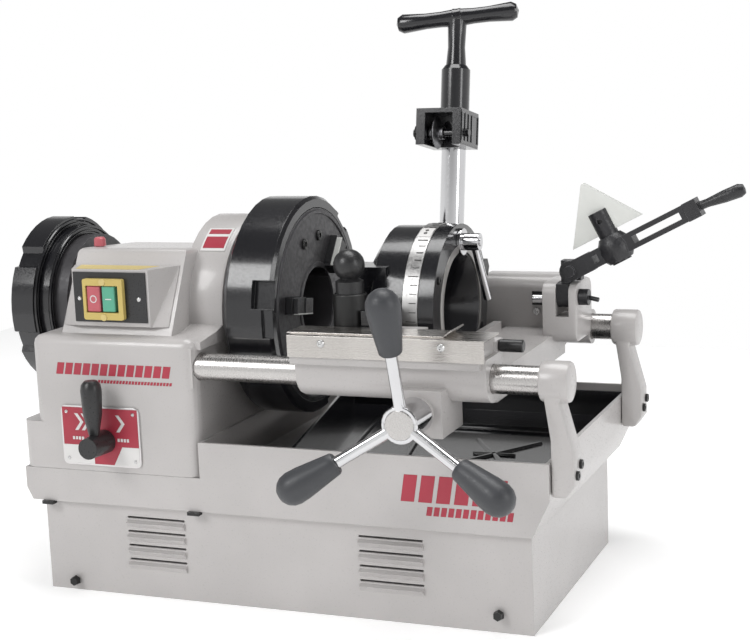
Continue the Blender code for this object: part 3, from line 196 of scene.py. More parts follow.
PAINT = (0.455, 0.437, 0.430)
LOOKS = {
    "grey_paint": surface(
        "grey_enamel", PAINT, 0.34, grain=650, vary=0.035, wear=(0.60, 0.59, 0.57), coat=0.25
    ),
    "black_paint": surface(
        "black_enamel", (0.009, 0.009, 0.011), 0.20, grain=500, coat=0.35, wear=(0.04, 0.04, 0.04)
    ),
    "black_cast": surface(
        "black_casting", (0.018, 0.018, 0.020), 0.36,
        grain=520, bump=0.55, depth=0.0006, vary=0.35, wear=(0.20, 0.20, 0.21),
    ),
    "chuck_steel": surface(
        "dark_satin_steel", (0.060, 0.058, 0.062), 0.42, 0.3, grain=300, vary=0.12, wear=(0.22, 0.22, 0.23)
    ),
    "chrome": surface("bright_chrome", (0.61, 0.61, 0.62), 0.11, 1.0, grain=200, bump=0.02, vary=0.03),
    "polished": surface(
        "ground_steel_bar", (0.50, 0.485, 0.475), 0.28, 1.0,
        grain=420, stretch=(4, 1, 1), bump=0.012, vary=0.05,
    ),
    "stainless": surface(
        "brushed_stainless", (0.56, 0.535, 0.51), 0.26, 1.0, grain=260, stretch=(0.15, 4, 4), vary=0.08
    ),
    "tool_steel": surface(
        "dark_tool_steel", (0.22, 0.22, 0.23), 0.35, 1.0, grain=420, bump=0.15, wear=(0.55, 0.55, 0.55)
    ),
    "slate_plastic": surface("slate_plastic", (0.044, 0.046, 0.051), 0.44, grain=900, bump=0.25, vary=0.08),
    "black_plastic": surface("black_plastic", (0.018, 0.018, 0.019), 0.34, grain=900, bump=0.2),
    "yellow": surface("yellow_plastic", (0.52, 0.40, 0.12), 0.36, grain=700, bump=0.08, vary=0.05),
    "red": surface("red_plastic", (0.46, 0.10, 0.12), 0.38, grain=700, bump=0.08, vary=0.08),
    "green": surface("green_plastic", (0.09, 0.36, 0.24), 0.38, grain=700, bump=0.08, vary=0.08),
    "sign": surface(
        "plate_aluminium", (0.66, 0.64, 0.64), 0.35, 0.6, grain=300, stretch=(0.2, 3, 3), vary=0.05
    ),
    "motor": surface("motor_enamel", (0.16, 0.17, 0.18), 0.45, grain=500, bump=0.2),
}


def print_ink(name, color, roughness, vary):
    return surface(name, color, roughness, grain=500, bump=0.04, vary=vary)


RED_PRINT = print_ink("red_print", (0.36, 0.028, 0.050), 0.42, 0.07)
WHITE_PRINT = print_ink("white_print", (0.66, 0.65, 0.64), 0.42, 0.03)
BLACK_PRINT = print_ink("black_print", (0.015, 0.015, 0.015), 0.45, 0.1)
YELLOW_LABEL = print_ink("yellow_label", (0.58, 0.46, 0.18), 0.45, 0.05)
PALE_BLADE = surface("bare_blade_steel", (0.74, 0.75, 0.72), 0.42, 0.35, grain=300, bump=0.05, vary=0.03)
SCREW_STEEL = surface("zinc_screw", (0.62, 0.62, 0.62), 0.28, 1.0, grain=500, bump=0.05)
BLACK_SCREW = surface("blackened_screw", (0.03, 0.03, 0.03), 0.35, 0.6, grain=500, wear=(0.25, 0.25, 0.25))
SCALE_STEEL = surface("satin_scale_ring", (0.45, 0.445, 0.44), 0.36, 1.0, grain=420, bump=0.02, vary=0.05)
BORE_STEEL = surface(
    "bored_steel", (0.33, 0.32, 0.31), 0.38, 0.9, grain=300, stretch=(6, 1, 1), bump=0.12, vary=0.12
)


# ------------------------------------------------------------------- shapes


def mesh_of(bm):
    bmesh.ops.recalc_face_normals(bm, faces=bm.faces)
    mesh = bpy.data.meshes.new("shape")
    bm.to_mesh(mesh)
    bm.free()
    return mesh


def block(*spans):
    bm = bmesh.new()
    bmesh.ops.create_cube(bm, size=1)
    bmesh.ops.scale(bm, vec=[high - low for low, high in spans], verts=bm.verts)
    bmesh.ops.translate(bm, vec=[(high + low) / 2 for low, high in spans], verts=bm.verts)
    return mesh_of(bm)


def bar(start, end, radius, end_radius=None, sides=32):
    start, end = Vector(start), Vector(end)
    line = end - start
    bm = bmesh.new()
    far = radius if end_radius is None else end_radius
    bmesh.ops.create_cone(bm, cap_ends=True, segments=sides, radius1=radius, radius2=far, depth=line.length)
    turn = UP.rotation_difference(line).to_matrix().to_4x4()
    bmesh.ops.transform(bm, matrix=Matrix.Translation((start + end) / 2) @ turn, verts=bm.verts)
    return mesh_of(bm)


def prism(outline, axis, low, high):
    first, second = PLANE[axis]
    bm = bmesh.new()
    corners = []
    for a, b in outline:
        point = ALONG[axis] * low
        point[first], point[second] = a, b
        corners.append(bm.verts.new(point))
    grown = bmesh.ops.extrude_face_region(bm, geom=[bm.faces.new(corners)])
    tops = [item for item in grown["geom"] if isinstance(item, bmesh.types.BMVert)]
    bmesh.ops.translate(bm, vec=ALONG[axis] * (high - low), verts=tops)
    return mesh_of(bm)


def lathe(profile, base, direction, sides=64):
    """Turns an outline of (radius, height) points about an axis into a closed solid."""
    bm = bmesh.new()
    points = [bm.verts.new((radius, 0, height)) for radius, height in profile]
    edges = [bm.edges.new((a, b)) for a, b in zip(points, points[1:])]
    if all(radius > 0 for radius, _ in profile):
        edges.append(bm.edges.new((points[-1], points[0])))
    bmesh.ops.spin(bm, geom=points + edges, cent=(0, 0, 0), axis=UP, angle=2 * math.pi, steps=sides)
    bmesh.ops.remove_doubles(bm, verts=bm.verts, dist=WELD)
    turn = UP.rotation_difference(Vector(direction)).to_matrix().to_4x4()
    bmesh.ops.transform(bm, matrix=Matrix.Translation(base) @ turn, verts=bm.verts)
    return mesh_of(bm)


def arc(centre, radius, start, end, steps):
    angles = [math.radians(start + (end - start) * i / steps) for i in range(steps + 1)]
    return [(centre[0] + radius * math.cos(a), centre[1] + radius * math.sin(a)) for a in angles]


def rounded(first, second, radius, steps=5):
    corners = (
        (first[1] - radius, second[0] + radius, -90),
        (first[1] - radius, second[1] - radius, 0),
        (first[0] + radius, second[1] - radius, 90),
        (first[0] + radius, second[0] + radius, 180),
    )
    return [point for a, b, angle in corners for point in arc((a, b), radius, angle, angle + 90, steps)]


def smooth(obj):
    """Smooth shading with crisp edges, on a mesh whose faces may not share their corners."""
    for name in ("custom_normal", "sharp_edge", "sharp_face"):
        found = obj.data.attributes.get(name)
        if found:
            obj.data.attributes.remove(found)
    obj.data.shade_smooth()
    weld = obj.modifiers.new("Weld", "WELD")
    weld.merge_threshold = WELD
    split = obj.modifiers.new("Crisp edges", "EDGE_SPLIT")
    split.split_angle = SMOOTH_ANGLE


def piece(name, body, look, *meshes):
    """One object made of several shapes, which rides on a body of the frame."""
    bm = bmesh.new()
    for mesh in meshes:
        bm.from_mesh(mesh)
        bpy.data.meshes.remove(mesh)
    whole = bpy.data.meshes.new(name)
    bm.to_mesh(whole)
    bm.free()
    whole.materials.append(look)
    obj = bpy.data.objects.new(name, whole)
    bpy.context.scene.collection.objects.link(obj)
    smooth(obj)
    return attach(obj, body)


# ---------------------------------------------------------- small shapes


def turned_by(mesh, centre, axis, angle):
    place = Matrix.Translation(centre)
    mesh.transform(place @ Matrix.Rotation(angle, 4, axis) @ place.inverted())
    return mesh


def cap_screw(centre, direction, radius, height):
    """A socket-head screw: a round head with a hole down its middle."""
    floor = height * 0.35
    inside = [(0, floor), (radius * 0.45, floor), (radius * 0.5, height)]
    outside = [(radius * 0.9, height), (radius, height * 0.9), (radius, 0), (0, 0)]
    return lathe(inside + outside, centre, direction, 24)


def pan_screw(centre, direction, radius):
    """A low domed screw with a dimple, let into the surface a little."""
    dimple = [(0, radius * 0.55), (radius * 0.25, radius * 0.30), (radius * 0.35, radius * 0.55)]
    dome = [(radius * 0.75, radius * 0.45), (radius, radius * 0.15)]
    foot = [(radius, -radius * 0.3), (0, -radius * 0.3)]
    return lathe(dimple + dome + foot, centre, direction, 20)


def low_head(centre, direction, top, radius, height, sides):
    """A flat disc with a bevelled rim."""
    return lathe([(0, height), (top, height), (radius, 0), (0, 0)], centre, direction, sides)


def printed_ring(centre, direction, inner, outer, sides):
    profile = [(inner, DECAL), (outer, DECAL), (outer, -DECAL), (inner, -DECAL)]
    return lathe(profile, centre, direction, sides)


def on_front(outline, face):
    """A thin print on a face that looks to the front."""
    return prism(outline, "Y", face - DECAL, face + DECAL)


def stripe_row(x, z, slant, count, share, face):
    """A row of slanted print blocks between two X and two Z values."""
    pitch = (x[1] - x[0]) / count
    blocks = []
    for index in range(count):
        left = x[0] + index * pitch
        right = left + pitch * share
        outline = [(left, z[0]), (right, z[0]), (right + slant, z[1]), (left + slant, z[1])]
        blocks.append(on_front(outline, face))
    return blocks


def round_spindle(profile, sides=96):
    """Turns an outline of (radius, X) points about the spindle."""
    return lathe(profile, (0, SPINDLE.y, SPINDLE.z), TO_RIGHT, sides)


def spindle_point(x, radius, degrees):
    angle = math.radians(degrees)
    return Vector((x, SPINDLE.y + radius * math.cos(angle), SPINDLE.z + radius * math.sin(angle)))


def radial_block(x, out, across, degrees):
    """A block at a distance out from the spindle, turned about it."""
    y = [SPINDLE.y + value for value in out]
    z = [SPINDLE.z + value for value in across]
    return turned_by(block(x, y, z), SPINDLE, "X", math.radians(degrees))


def screw_circle(x, radius, angles, direction, head, height):
    return [cap_screw(spindle_point(x, radius, angle), direction, head, height) for angle in angles]


# ------------------------------------------------------------- the CAD nodes


def dress_nodes():
    for entry in frame["record"]["subparts"]:
        obj = NODES[entry["node"]]
        obj.data.materials.clear()
        obj.data.materials.append(LOOKS[entry["material_slot"]])
        smooth(obj)
    NODES["reamer_blade"].data.materials[0] = PALE_BLADE
    NODES["die_head_scale_ring"].data.materials[0] = SCALE_STEEL
    for name in ("die_1", "die_2", "die_3", "die_4"):
        NODES[name].data.materials[0] = LOOKS["tool_steel"]


# ------------------------------------------------------- base and headstock

# Bolts as (X, Z) and pads as X, from the skirt's lower left corner
BASE_BOLTS = ((0.029, 0.010), (0.450, 0.017))
BASE_PADS = (0.008, 0.163)
BOLT_HEAD, BOLT_TOP, BOLT_HEIGHT = 0.0050, 0.0042, 0.004
PAD_SIZE, PAD_DROP = 0.006, 0.003
SUNK = 0.001

# Each red band: the node it is on, X span, Z span, slant, number of blocks, red share
BANDS = {
    "casing_band": ("headstock_casing", (-0.214, -0.093), (0.2115, 0.2225), 0.0025, 13, 0.80),
    "casing_thin_band": ("headstock_casing", (-0.170, -0.092), (0.2045, 0.2075), 0.001, 24, 0.72),
    "bed_band": ("bed", (0.125, 0.222), (0.1130, 0.1370), 0.004, 6, 0.76),
    "bed_thin_band": ("bed", (0.148, 0.227), (0.1015, 0.1095), 0.0015, 12, 0.74),
}


def base_details():
    """Two bolts in the skirt's front and two dark pads under the bed's lip."""
    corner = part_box("base_skirt")[0]
    front = corner.y
    bolts = []
    for x, z in BASE_BOLTS:
        root = (corner.x + x, front + SUNK, z)
        top = (corner.x + x, front - BOLT_HEIGHT, z)
        bolts.append(bar(root, top, BOLT_HEAD, BOLT_TOP, 6))
    piece("base_bolts", "frame", BLACK_SCREW, *bolts)
    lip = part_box("bed")[0].z
    pads = []
    for offset in BASE_PADS:
        x = corner.x + offset
        y, z = (front - PAD_SIZE, front + SUNK), (lip - PAD_DROP, lip + DECAL)
        pads.append(block((x - PAD_SIZE, x + PAD_SIZE), y, z))
    piece("lip_pads", "frame", BLACK_SCREW, *pads)


def printed_bands():
    """Generic red bands where the real machine carries its printing."""
    for name, (node, *row) in BANDS.items():
        piece(name, "frame", RED_PRINT, *stripe_row(*row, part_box(node)[0].y))


# Speed plate: margin, height of the lower part, and the wedge's corners as shares
PLATE_MARGIN, PLATE_SPLIT, PLATE_WEDGE = 0.0016, 0.33, (0.40, 0.66, 0.78)
PLATE_ROUNDING = 0.0015
CHEVRON = ((0, 0.022), (-0.006, 0.030), (-0.0095, 0.030), (-0.0035, 0.022), (-0.0095, 0.014), (-0.006, 0.014))
DASH_WIDTH, DASH_LOW, DASH_HIGH = 0.013, 0.005, 0.008
RIVET_INSET, RIVET_RADIUS = 0.0045, 0.0017
LEVER_BOSS = 0.0112
LEVER_COLLAR = [(0.0078, 0.0014), (0.0105, 0.0014), (0.0110, 0), (0.0078, 0)]


def speed_plate_art():
    """A red and white plate with plain chevrons, four rivets and the lever's collar."""
    low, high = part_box("speed_plate")
    face = low.y
    left, right = low.x + PLATE_MARGIN, high.x - PLATE_MARGIN
    bottom, top = low.z + PLATE_MARGIN, high.z - PLATE_MARGIN
    split = bottom + PLATE_SPLIT * (top - bottom)
    first, second, third = (left + (right - left) * share for share in PLATE_WEDGE)
    red = [(left, split), (right, split), (right, top), (left, top)]
    wedge = [(first, bottom), (second, bottom), (third, split), (first, split)]
    corner = rounded((left, first), (bottom, split), PLATE_ROUNDING)
    rest = [(second, bottom), (right, bottom), (right, split), (third, split)]
    piece("plate_red", "frame", RED_PRINT, on_front(red, face), on_front(wedge, face))
    piece("plate_white", "frame", WHITE_PRINT, on_front(corner, face), on_front(rest, face))
    marks = []
    for tip in (left + 0.0225, left + 0.0295, right - 0.0135):
        outline = [(tip + x, split + z) for x, z in CHEVRON]
        marks.append(prism(outline, "Y", face - 2 * DECAL, face))
    dash_z = (split + DASH_LOW, split + DASH_HIGH)
    for x in (left + 0.010, right - 0.022):
        marks += stripe_row((x, x + DASH_WIDTH), dash_z, 0, 4, 0.7, face - DECAL)
    piece("plate_marks", "frame", WHITE_PRINT, *marks)
    rivets = []
    for x in (left + RIVET_INSET, right - RIVET_INSET):
        for z in (bottom + RIVET_INSET, top - RIVET_INSET):
            rivets.append(pan_screw((x, face - DECAL, z), TO_FRONT, RIVET_RADIUS))
    piece("plate_rivets", "frame", SCREW_STEEL, *rivets)
    pivot = (middle("speed_lever").x, face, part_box("speed_lever")[0].z + LEVER_BOSS)
    piece("lever_collar", "frame", BLACK_SCREW, lathe(LEVER_COLLAR, pivot, TO_FRONT, 40))


STROKE_HALF, STROKE_THICK = 0.0032, 0.0005

# Switch label on the box's top: (X from the middle, Y from the front)
SWITCH_LABEL = ((-0.0365, 0.002), (0.0295, 0.002), (0.0385, 0.0265), (-0.0455, 0.0265))


def switch_details():
    """The switch plate's screws, the two lugs of its yellow frame, the marks and the label."""
    low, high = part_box("switch_frame")
    centre = (low + high) / 2
    plate_low, plate_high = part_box("switch_plate")
    screws = []
    for x in (plate_low.x + 0.006, plate_high.x - 0.0075):
        screws.append(pan_screw((x, plate_low.y, centre.z), TO_FRONT, 0.0021))
    piece("switch_screws", "frame", SCREW_STEEL, *screws)
    lugs = []
    for z in (low.z + 0.0024, high.z - 0.0030):
        lugs.append(low_head((centre.x, low.y, z), TO_FRONT, 0.0030, 0.0034, 0.0008, 24))
    piece("switch_cover_lugs", "frame", YELLOW_LABEL, *lugs)
    button_marks()
    box_low, box_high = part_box("switch_box")
    outline = [(middle("switch_box").x + x, box_low.y + y) for x, y in SWITCH_LABEL]
    label = prism(outline, "Z", box_high.z - DECAL, box_high.z + DECAL)
    piece("switch_box_label", "frame", YELLOW_LABEL, label)


def button_marks():
    """A ring on the stop button and a stroke on the start button."""
    place, front = middle("stop_button"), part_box("stop_button")[0].y
    ring = printed_ring((place.x, front, place.z), TO_FRONT, 0.0026, 0.0036, 32)
    piece("stop_button_mark", "stop_button", WHITE_PRINT, ring)
    place, front = middle("start_button"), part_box("start_button")[0].y
    x = (place.x - STROKE_HALF, place.x + STROKE_HALF)
    z = (place.z - STROKE_THICK, place.z + STROKE_THICK)
    stroke = block(x, (front - DECAL, front + DECAL), z)
    piece("start_button_mark", "start_button", WHITE_PRINT, stroke)


# Guard label: X span back from the casing's right face, and degrees round the spindle
GUARD_LABEL_X, GUARD_LABEL_TURN = (-0.032, -0.006), (117, 137)
GUARD_MARKS = ((118.5, 123), (125.5, 135))
GUARD_MARK_INSET, LABEL_THICK = 0.002, 0.0008


def bent_patch(radius, start, end, x):
    """A thin patch bent round the spindle between two angles."""
    outline = arc((SPINDLE.y, SPINDLE.z), radius, start, end, 12)
    outline += arc((SPINDLE.y, SPINDLE.z), radius - LABEL_THICK, end, start, 12)
    return prism(outline, "X", *x)


def arch_label():
    """A small red and white label bent over the guard, beside the hood."""
    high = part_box("headstock_casing")[1]
    radius = high.z - SPINDLE.z + DECAL
    left, right = (high.x + offset for offset in GUARD_LABEL_X)
    piece("guard_label", "frame", WHITE_PRINT, bent_patch(radius, *GUARD_LABEL_TURN, (left, right)))
    inside = (left + GUARD_MARK_INSET, right - GUARD_MARK_INSET)
    marks = [bent_patch(radius + DECAL, start, end, inside) for start, end in GUARD_MARKS]
    piece("guard_label_print", "frame", RED_PRINT, *marks)


# Chip tray ridges as (X, Y) points from the tray's front left corner
TRAY_RECESS = ((0.150, 0.0505), (0.282, 0.0505), (0.282, 0.2205), (0.116, 0.2205))
TRAY_CROSS = (((0.184, 0.1855), (0.246, 0.0855)), ((0.246, 0.1855), (0.184, 0.0855)))
TRAY_CROSS_BAR = ((0.195, 0.1355), (0.236, 0.1355))
TRAY_RIDGES = (((0.090, 0.0355), (0.050, 0.2855)), ((0.140, 0.2405), (0.290, 0.2405)))
TRAY_SHEET = 0.002
RIDGE_HALF, RIDGE_HEIGHT, RIDGE_CROWN, RIDGE_SUNK = 0.0035, 0.0022, 0.4, 0.0005
CROSS_BAR_HALF = 0.002


def ridge(start, end, half=RIDGE_HALF):
    """A low pressed ridge with sloping sides on the chip tray's floor."""
    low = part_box("chip_tray")[0]
    floor = low.z + TRAY_SHEET
    start, end = (Vector((low.x + x, low.y + y, 0)) for x, y in (start, end))
    side = (end - start).cross(UP).normalized() * half
    bm = bmesh.new()
    rings = []
    for share, height in ((1, floor - RIDGE_SUNK), (RIDGE_CROWN, floor + RIDGE_HEIGHT)):
        corners = (start + side * share, end + side * share, end - side * share, start - side * share)
        rings.append([bm.verts.new((point.x, point.y, height)) for point in corners])
    lower, upper = rings
    bm.faces.new(upper)
    bm.faces.new(lower[::-1])
    for i in range(4):
        bm.faces.new((lower[i], lower[(i + 1) % 4], upper[(i + 1) % 4], upper[i]))
    return mesh_of(bm)


def tray_details():
    """The rim of the tray's recess, the cross in it and two long ridges beside it."""
    ridges = [ridge(a, b) for a, b in zip(TRAY_RECESS, TRAY_RECESS[1:] + TRAY_RECESS[:1])]
    ridges += [ridge(*line) for line in TRAY_CROSS]
    ridges.append(ridge(*TRAY_CROSS_BAR, CROSS_BAR_HALF))
    ridges += [ridge(*line) for line in TRAY_RIDGES]
    piece("tray_ribs", "frame", LOOKS["black_paint"], *ridges)


BRACKET_SCREW_Y, BRACKET_SCREW_Z, BRACKET_SCREW_STEP = 0.006, 0.0225, 0.0035


def bracket_screws():
    """Two cap screws low on the outer face of each rod bracket, one a little higher."""
    screws = []
    for name in ("front_rod_bracket", "rear_rod_bracket"):
        low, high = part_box(name)
        for side in (-1, 1):
            y = (low.y + high.y) / 2 + side * BRACKET_SCREW_Y
            z = low.z + BRACKET_SCREW_Z + side * BRACKET_SCREW_STEP
            screws.append(cap_screw((high.x - SUNK, y, z), TO_RIGHT, 0.0040, 0.0035))
    piece("bracket_screws", "frame", BLACK_SCREW, *screws)


# ------------------------------------------------------------------ spindle

JAW_ANGLES = {1: 172, 2: 52, 3: 292}
JAW_STEP_X, JAW_STEP_OUT, JAW_STEP_HALF = (-0.0055, -0.0008), (0.054, 0.0705), 0.0070
JAW_FACE_X, JAW_FACE_OUT, JAW_FACE_SIDE = (-0.0052, DECAL), (0.0388, 0.0700), (0.0066, 0.0078)
CHUCK_SCREW_ANGLES = (0, 112, 232, 322, 202, 82)
REAR_RING_INNER_FACE = 0.0118


def chuck_details():
    """Raised rings on the chuck's face, and screws on the front and rear chucks."""
    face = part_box("chuck_body")[1].x
    lip = [(0.0895, 0.0012), (0.0912, -DECAL), (0.0865, -DECAL), (0.0875, 0.0012)]
    bore = [(0.0405, 0.0009), (0.0415, -DECAL), (0.0368, -DECAL), (0.0368, 0.0009)]
    rings = []
    for profile in (lip, bore):
        rings.append(round_spindle([(radius, face + x) for radius, x in profile]))
    piece("chuck_face_rings", "spindle", LOOKS["chuck_steel"], *rings)
    screws = screw_circle(face - SUNK, 0.066, CHUCK_SCREW_ANGLES, TO_RIGHT, 0.0052, 0.0030)
    piece("chuck_screws", "spindle", BLACK_SCREW, *screws)
    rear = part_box("rear_chuck_body")[0].x
    screws = screw_circle(rear + SUNK, 0.050, CHUCK_SCREW_ANGLES, TO_LEFT, 0.0040, 0.0025)
    piece("rear_chuck_screws", "spindle", BLACK_SCREW, *screws)


def jaw_details():
    """Each front jaw's outer step and the bright ground face on its side."""
    for number, angle in JAW_ANGLES.items():
        body = f"chuck_jaw_{number}"
        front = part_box(body)[1].x
        x = [front + offset for offset in JAW_STEP_X]
        step = radial_block(x, JAW_STEP_OUT, (-JAW_STEP_HALF, JAW_STEP_HALF), angle)
        piece(f"jaw_{number}_step", body, LOOKS["black_cast"], step)
        x = [front + offset for offset in JAW_FACE_X]
        face = radial_block(x, JAW_FACE_OUT, JAW_FACE_SIDE, angle)
        piece(f"jaw_{number}_face", body, PALE_BLADE, face)


def rear_ring_details():
    """Raised lips on the back of the rear ring."""
    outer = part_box("rear_chuck_ring")[1].x
    inner = outer - REAR_RING_INNER_FACE
    lips = []
    for radius, x in ((0.0765, inner), (0.0800, inner), (0.0725, outer), (0.0690, outer)):
        crown = [(radius + 0.0010, x + 0.0016), (radius + 0.0016, x - DECAL)]
        lips.append(round_spindle(crown + [(radius - 0.0010, x - DECAL), (radius - 0.0004, x + 0.0016)], 72))
    piece("rear_ring_lips", "rear_ring", LOOKS["black_paint"], *lips)


# ----------------------------------------------------------------- carriage

COVER_SCREW_X, COVER_SCREW_Z, COVER_SCREW_RADIUS = (0.032, 0.141), 0.0125, 0.0036
TOP_PLATE = ((-0.004, 0), (0.140, 0), (0.148, 0.006), (0.1468, 0.0068), (0.1392, 0.0011), (-0.004, 0.0011))

# The stop beside the reamer's clevis, from the carriage's far upper corner
STOP_PLACE, STOP_SIZE = (-0.055, -0.048, -0.014), 0.0135
STOP_PIN_X, STOP_PIN_RADIUS, STOP_PIN_DROP = (0.002, 0.0125), 0.0042, 0.007
HOUSING_BOLT = (0.0045, 0.0195)


def cover_details():
    """The cover strip's two screws and the thin plate with a turned-up end on top of it."""
    low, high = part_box("splash_cover")
    screws = []
    for x in COVER_SCREW_X:
        screws.append(pan_screw((low.x + x, low.y, low.z + COVER_SCREW_Z), TO_FRONT, COVER_SCREW_RADIUS))
    piece("cover_screws", "carriage", SCREW_STEEL, *screws)
    plate = prism([(low.x + x, high.z + z) for x, z in TOP_PLATE], "Y", low.y + 0.010, high.y - 0.002)
    piece("cover_top_plate", "carriage", LOOKS["stainless"], plate)


def carriage_details():
    """A dark window with a bright pin across it, and a bolt below it."""
    left, front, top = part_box("carriage")[1] + Vector(STOP_PLACE)
    window = block((left, left + STOP_SIZE), (front - 0.0006, front + SUNK), (top - STOP_SIZE, top))
    piece("stop_window", "carriage", BLACK_SCREW, window)
    y, z = front - 0.0035, top - STOP_PIN_DROP
    start, end = (left + x for x in STOP_PIN_X)
    pin = bar((start, y, z), (end, y, z), STOP_PIN_RADIUS, sides=24)
    piece("stop_detent", "carriage", LOOKS["chrome"], pin)
    x, drop = HOUSING_BOLT
    bolt = cap_screw((left + x, front, top - drop), TO_FRONT, 0.0036, 0.0030)
    piece("housing_bolt", "carriage", SCREW_STEEL, bolt)


# ----------------------------------------------------------------- die head

SCALE_STEP, SCALE_LONG_EVERY = 6, 30
TICK_LONG, TICK_SHORT, TICK_END, TICK_HALF, TICK_SUNK = 0.0035, 0.0065, 0.0015, 0.00035, 0.0006
SCALE_LABEL = (104, 116)
DIGIT_INSET = 4
HEAD_SCREW_ANGLES = (20, 150, 210, 270, 330)
HEAD_RIM = ((0.0585, -0.0005), (0.0585, 0.0003), (0.0560, 0.0012), (0.0525, 0.0012), (0.0525, -0.0005))
TRIP_COLLAR = [(0.0139, 0.030), (0.0150, 0.029), (0.0158, 0.001), (0.0139, 0.001)]


def scale_marks():
    """Ticks round the bright ring, with a white label that has two round marks."""
    low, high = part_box("die_head_scale_ring")
    radius = (high.z - low.z) / 2
    ticks = []
    for angle in range(0, 360, SCALE_STEP):
        if SCALE_LABEL[0] <= angle <= SCALE_LABEL[1]:
            continue
        start = TICK_SHORT if angle % SCALE_LONG_EVERY else TICK_LONG
        x = (low.x + start, high.x - TICK_END)
        ticks.append(radial_block(x, (radius - TICK_SUNK, radius + DECAL), (-TICK_HALF, TICK_HALF), angle))
    piece("scale_ticks", "scale_ring", BLACK_PRINT, *ticks)
    start, end = SCALE_LABEL
    label = arc((SPINDLE.y, SPINDLE.z), radius + DECAL, start, end, 8)
    label += arc((SPINDLE.y, SPINDLE.z), radius - 3 * DECAL, end, start, 8)
    piece("scale_label", "scale_ring", WHITE_PRINT, prism(label, "X", low.x + 0.001, high.x - 0.001))
    middle_x = (low.x + high.x) / 2
    centre = Vector((middle_x, SPINDLE.y, SPINDLE.z))
    digits = []
    for degrees in (start + DIGIT_INSET, end - DIGIT_INSET):
        place = spindle_point(middle_x, radius + 2 * DECAL, degrees)
        digits.append(printed_ring(place, place - centre, 0.0009, 0.0016, 16))
    piece("scale_digits", "scale_ring", BLACK_PRINT, *digits)


def die_head_details():
    """The bored rim and screws of the head's face, and the collar under the trip post."""
    scale_marks()
    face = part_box("die_head_body")[1].x
    rim = round_spindle([(radius, face + x) for radius, x in HEAD_RIM])
    piece("die_head_rim", "carriage", BORE_STEEL, rim)
    screws = screw_circle(face - TICK_SUNK, 0.068, HEAD_SCREW_ANGLES, TO_RIGHT, 0.0036, 0.0022)
    piece("die_head_screws", "carriage", BLACK_SCREW, *screws)
    post = middle("trip_post")
    foot = (post.x, post.y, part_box("trip_post")[0].z)
    piece("trip_collar", "carriage", BLACK_SCREW, lathe(TRIP_COLLAR, foot, UP, 48))


# --------------------------------------------- handwheel, cutter and reamer

HUB_BEYOND_SHAFT = 0.004
CUTTER_LEAN = math.radians(-10.3)

# The fork's right cheek, in Y and Z from the wheel's centre while the cutter stands upright
CHEEK_INSET, RIB_WIDTH = 0.0045, 0.0022
RIB_STARTS, RIB_Z = (-0.013, -0.003, 0.007, 0.017, 0.0355), (-0.0085, 0.0190)
RIM_Y, RIM_Z = (-0.014, 0.0375), ((0.018, 0.021), (-0.011, -0.008))
RIB_LIFT, RIM_LIFT = 0.0013, 0.0010
PIN_NUT_X, PIN_NUT_RADIUS = (0.002, 0.0068), 0.0075
ARM_FACE = 0.0025


def handwheel_details():
    """The bright cap in the middle of the hub."""
    centre = middle("feed_shaft")
    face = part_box("feed_shaft")[0].y - HUB_BEYOND_SHAFT
    cap = low_head((centre.x, face, centre.z), TO_FRONT, 0.0120, 0.0128, 0.0006, 48)
    piece("hub_cap", "handwheel", LOOKS["polished"], cap)


def cutter_details():
    """Ribs on the fork's right cheek and the nut on the wheel's pin."""
    low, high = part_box("cutter_slide")
    wheel = middle("cutter_wheel")
    cheek = high.x - CHEEK_INSET

    def raised(lift, y, z):
        spans = [(wheel.y + y[0], wheel.y + y[1]), (wheel.z + z[0], wheel.z + z[1])]
        return turned_by(block((cheek, cheek + lift), *spans), wheel, "X", CUTTER_LEAN)

    ribs = [raised(RIB_LIFT, (start, start + RIB_WIDTH), RIB_Z) for start in RIB_STARTS]
    ribs += [raised(RIM_LIFT, RIM_Y, z) for z in RIM_Z]
    piece("fork_ribs", "cutter_slide", LOOKS["black_paint"], *ribs)
    start, end = ((low.x + x, wheel.y, wheel.z) for x in PIN_NUT_X)
    nut = turned_by(bar(start, end, PIN_NUT_RADIUS, sides=6), wheel, "X", CUTTER_LEAN)
    piece("wheel_pin_nut", "cutter_slide", BLACK_SCREW, nut)


def reamer_details():
    """The screw head the reamer's arm turns on."""
    pivot = ANCHORS["reamer_arm_swing"]
    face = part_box("reamer_blade")[0].y - ARM_FACE
    head = low_head((pivot.x, face, pivot.z), TO_FRONT, 0.0040, 0.0046, 0.0012, 28)
    piece("reamer_pivot_head", "reamer_arm", BLACK_SCREW, head)


# -------------------------------------------------------------------- stage


def floor():
    bm = bmesh.new()
    bmesh.ops.create_grid(bm, x_segments=1, y_segments=1, size=FLOOR_HALF)
    obj = bpy.data.objects.new("floor", mesh_of(bm))
    graph = Graph("pale_floor")
    tint = graph.blend(graph.noise(3), (0.86, 0.86, 0.86), (0.90, 0.90, 0.90))
    graph.link(tint, graph.shader.inputs["Base Color"])
    graph.shader.inputs["Roughness"].default_value = 0.8
    graph.shader.inputs["Specular IOR Level"].default_value = 0.0
    graph.shader.inputs["Emission Color"].default_value = (1, 1, 1, 1)
    graph.shader.inputs["Emission Strength"].default_value = 0.36
    obj.data.materials.append(graph.material)
    bpy.context.scene.collection.objects.link(obj)


def softbox(name, place, target, size, power):
    light = bpy.data.lights.new(name, "AREA")
    light.shape = "RECTANGLE"
    light.size, light.size_y = size
    light.energy = power
    obj = bpy.data.objects.new(name, light)
    obj.location = place
    obj.rotation_mode = "QUATERNION"
    obj.rotation_quaternion = (Vector(target) - Vector(place)).to_track_quat("-Z", "Y")
    bpy.context.scene.collection.objects.link(obj)


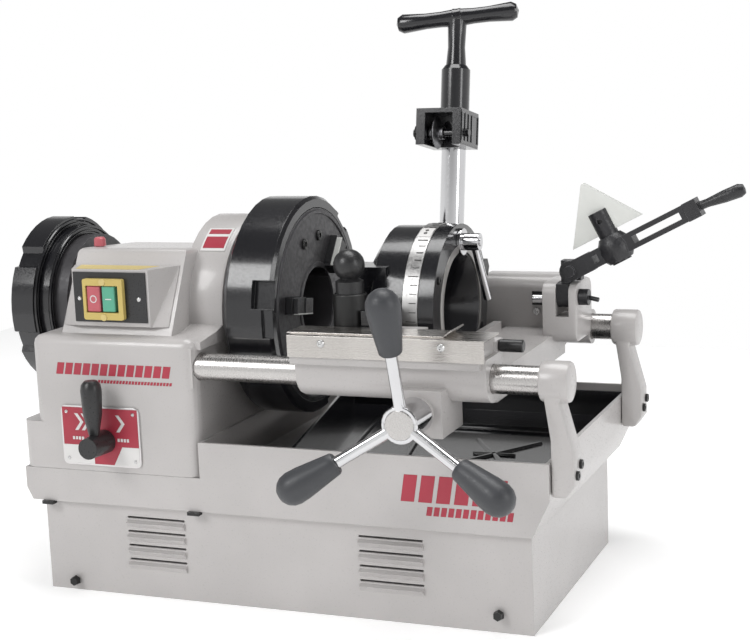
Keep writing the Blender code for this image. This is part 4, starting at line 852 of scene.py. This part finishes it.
def surroundings():
    """A studio that is white down to the floor and darkens overhead, where the softboxes hang."""
    world = bpy.data.worlds.new("studio")
    world.use_nodes = True
    tree = world.node_tree
    coordinates = tree.nodes.new("ShaderNodeTexCoord")
    split = tree.nodes.new("ShaderNodeSeparateXYZ")
    height = tree.nodes.new("ShaderNodeMapRange")
    height.interpolation_type = "SMOOTHSTEP"
    height.inputs["From Min"].default_value = 0.12
    height.inputs["From Max"].default_value = 0.42
    height.inputs["To Min"].default_value = 1.0
    height.inputs["To Max"].default_value = 0.18
    tree.links.new(coordinates.outputs["Generated"], split.inputs["Vector"])
    tree.links.new(split.outputs["Z"], height.inputs["Value"])
    tree.links.new(height.outputs["Result"], tree.nodes["Background"].inputs["Color"])
    bpy.context.scene.world = world


def lighting():
    surroundings()
    softbox("key", (-1.1, -1.9, 1.7), (0, 0, 0.25), (1.0, 1.0), 29)
    softbox("top", (0.1, 0.2, 2.0), (0, 0, 0.2), (1.6, 0.9), 25)
    softbox("right", (2.0, -0.6, 1.0), (0, 0, 0.25), (0.5, 1.3), 10)
    bpy.context.scene.view_settings.view_transform = "Standard"


def camera():
    data = bpy.data.cameras.new("camera")
    data.lens, data.sensor_width = CAMERA_LENS, SENSOR
    data.clip_start, data.clip_end = 0.05, 50
    obj = bpy.data.objects.new("camera", data)
    sine, cosine = math.sin(CAMERA_YAW), math.cos(CAMERA_YAW)
    level = math.cos(CAMERA_PITCH)
    forward = Vector((-sine * level, cosine * level, -math.sin(CAMERA_PITCH)))
    right = Vector((cosine, sine, 0))
    up = right.cross(forward)
    roll_sine, roll_cosine = math.sin(CAMERA_ROLL), math.cos(CAMERA_ROLL)
    rolled_right = roll_cosine * right - roll_sine * up
    rolled_up = roll_sine * right + roll_cosine * up
    turn = Matrix((rolled_right, rolled_up, -forward)).transposed().to_4x4()
    obj.matrix_world = Matrix.Translation(CAMERA_PLACE) @ turn
    bpy.context.scene.collection.objects.link(obj)
    bpy.context.scene.camera = obj


camera()
lighting()
floor()
dress_nodes()
base_details()
printed_bands()
speed_plate_art()
switch_details()
arch_label()
tray_details()
bracket_screws()
chuck_details()
jaw_details()
rear_ring_details()
cover_details()
carriage_details()
die_head_details()
handwheel_details()
cutter_details()
reamer_details()
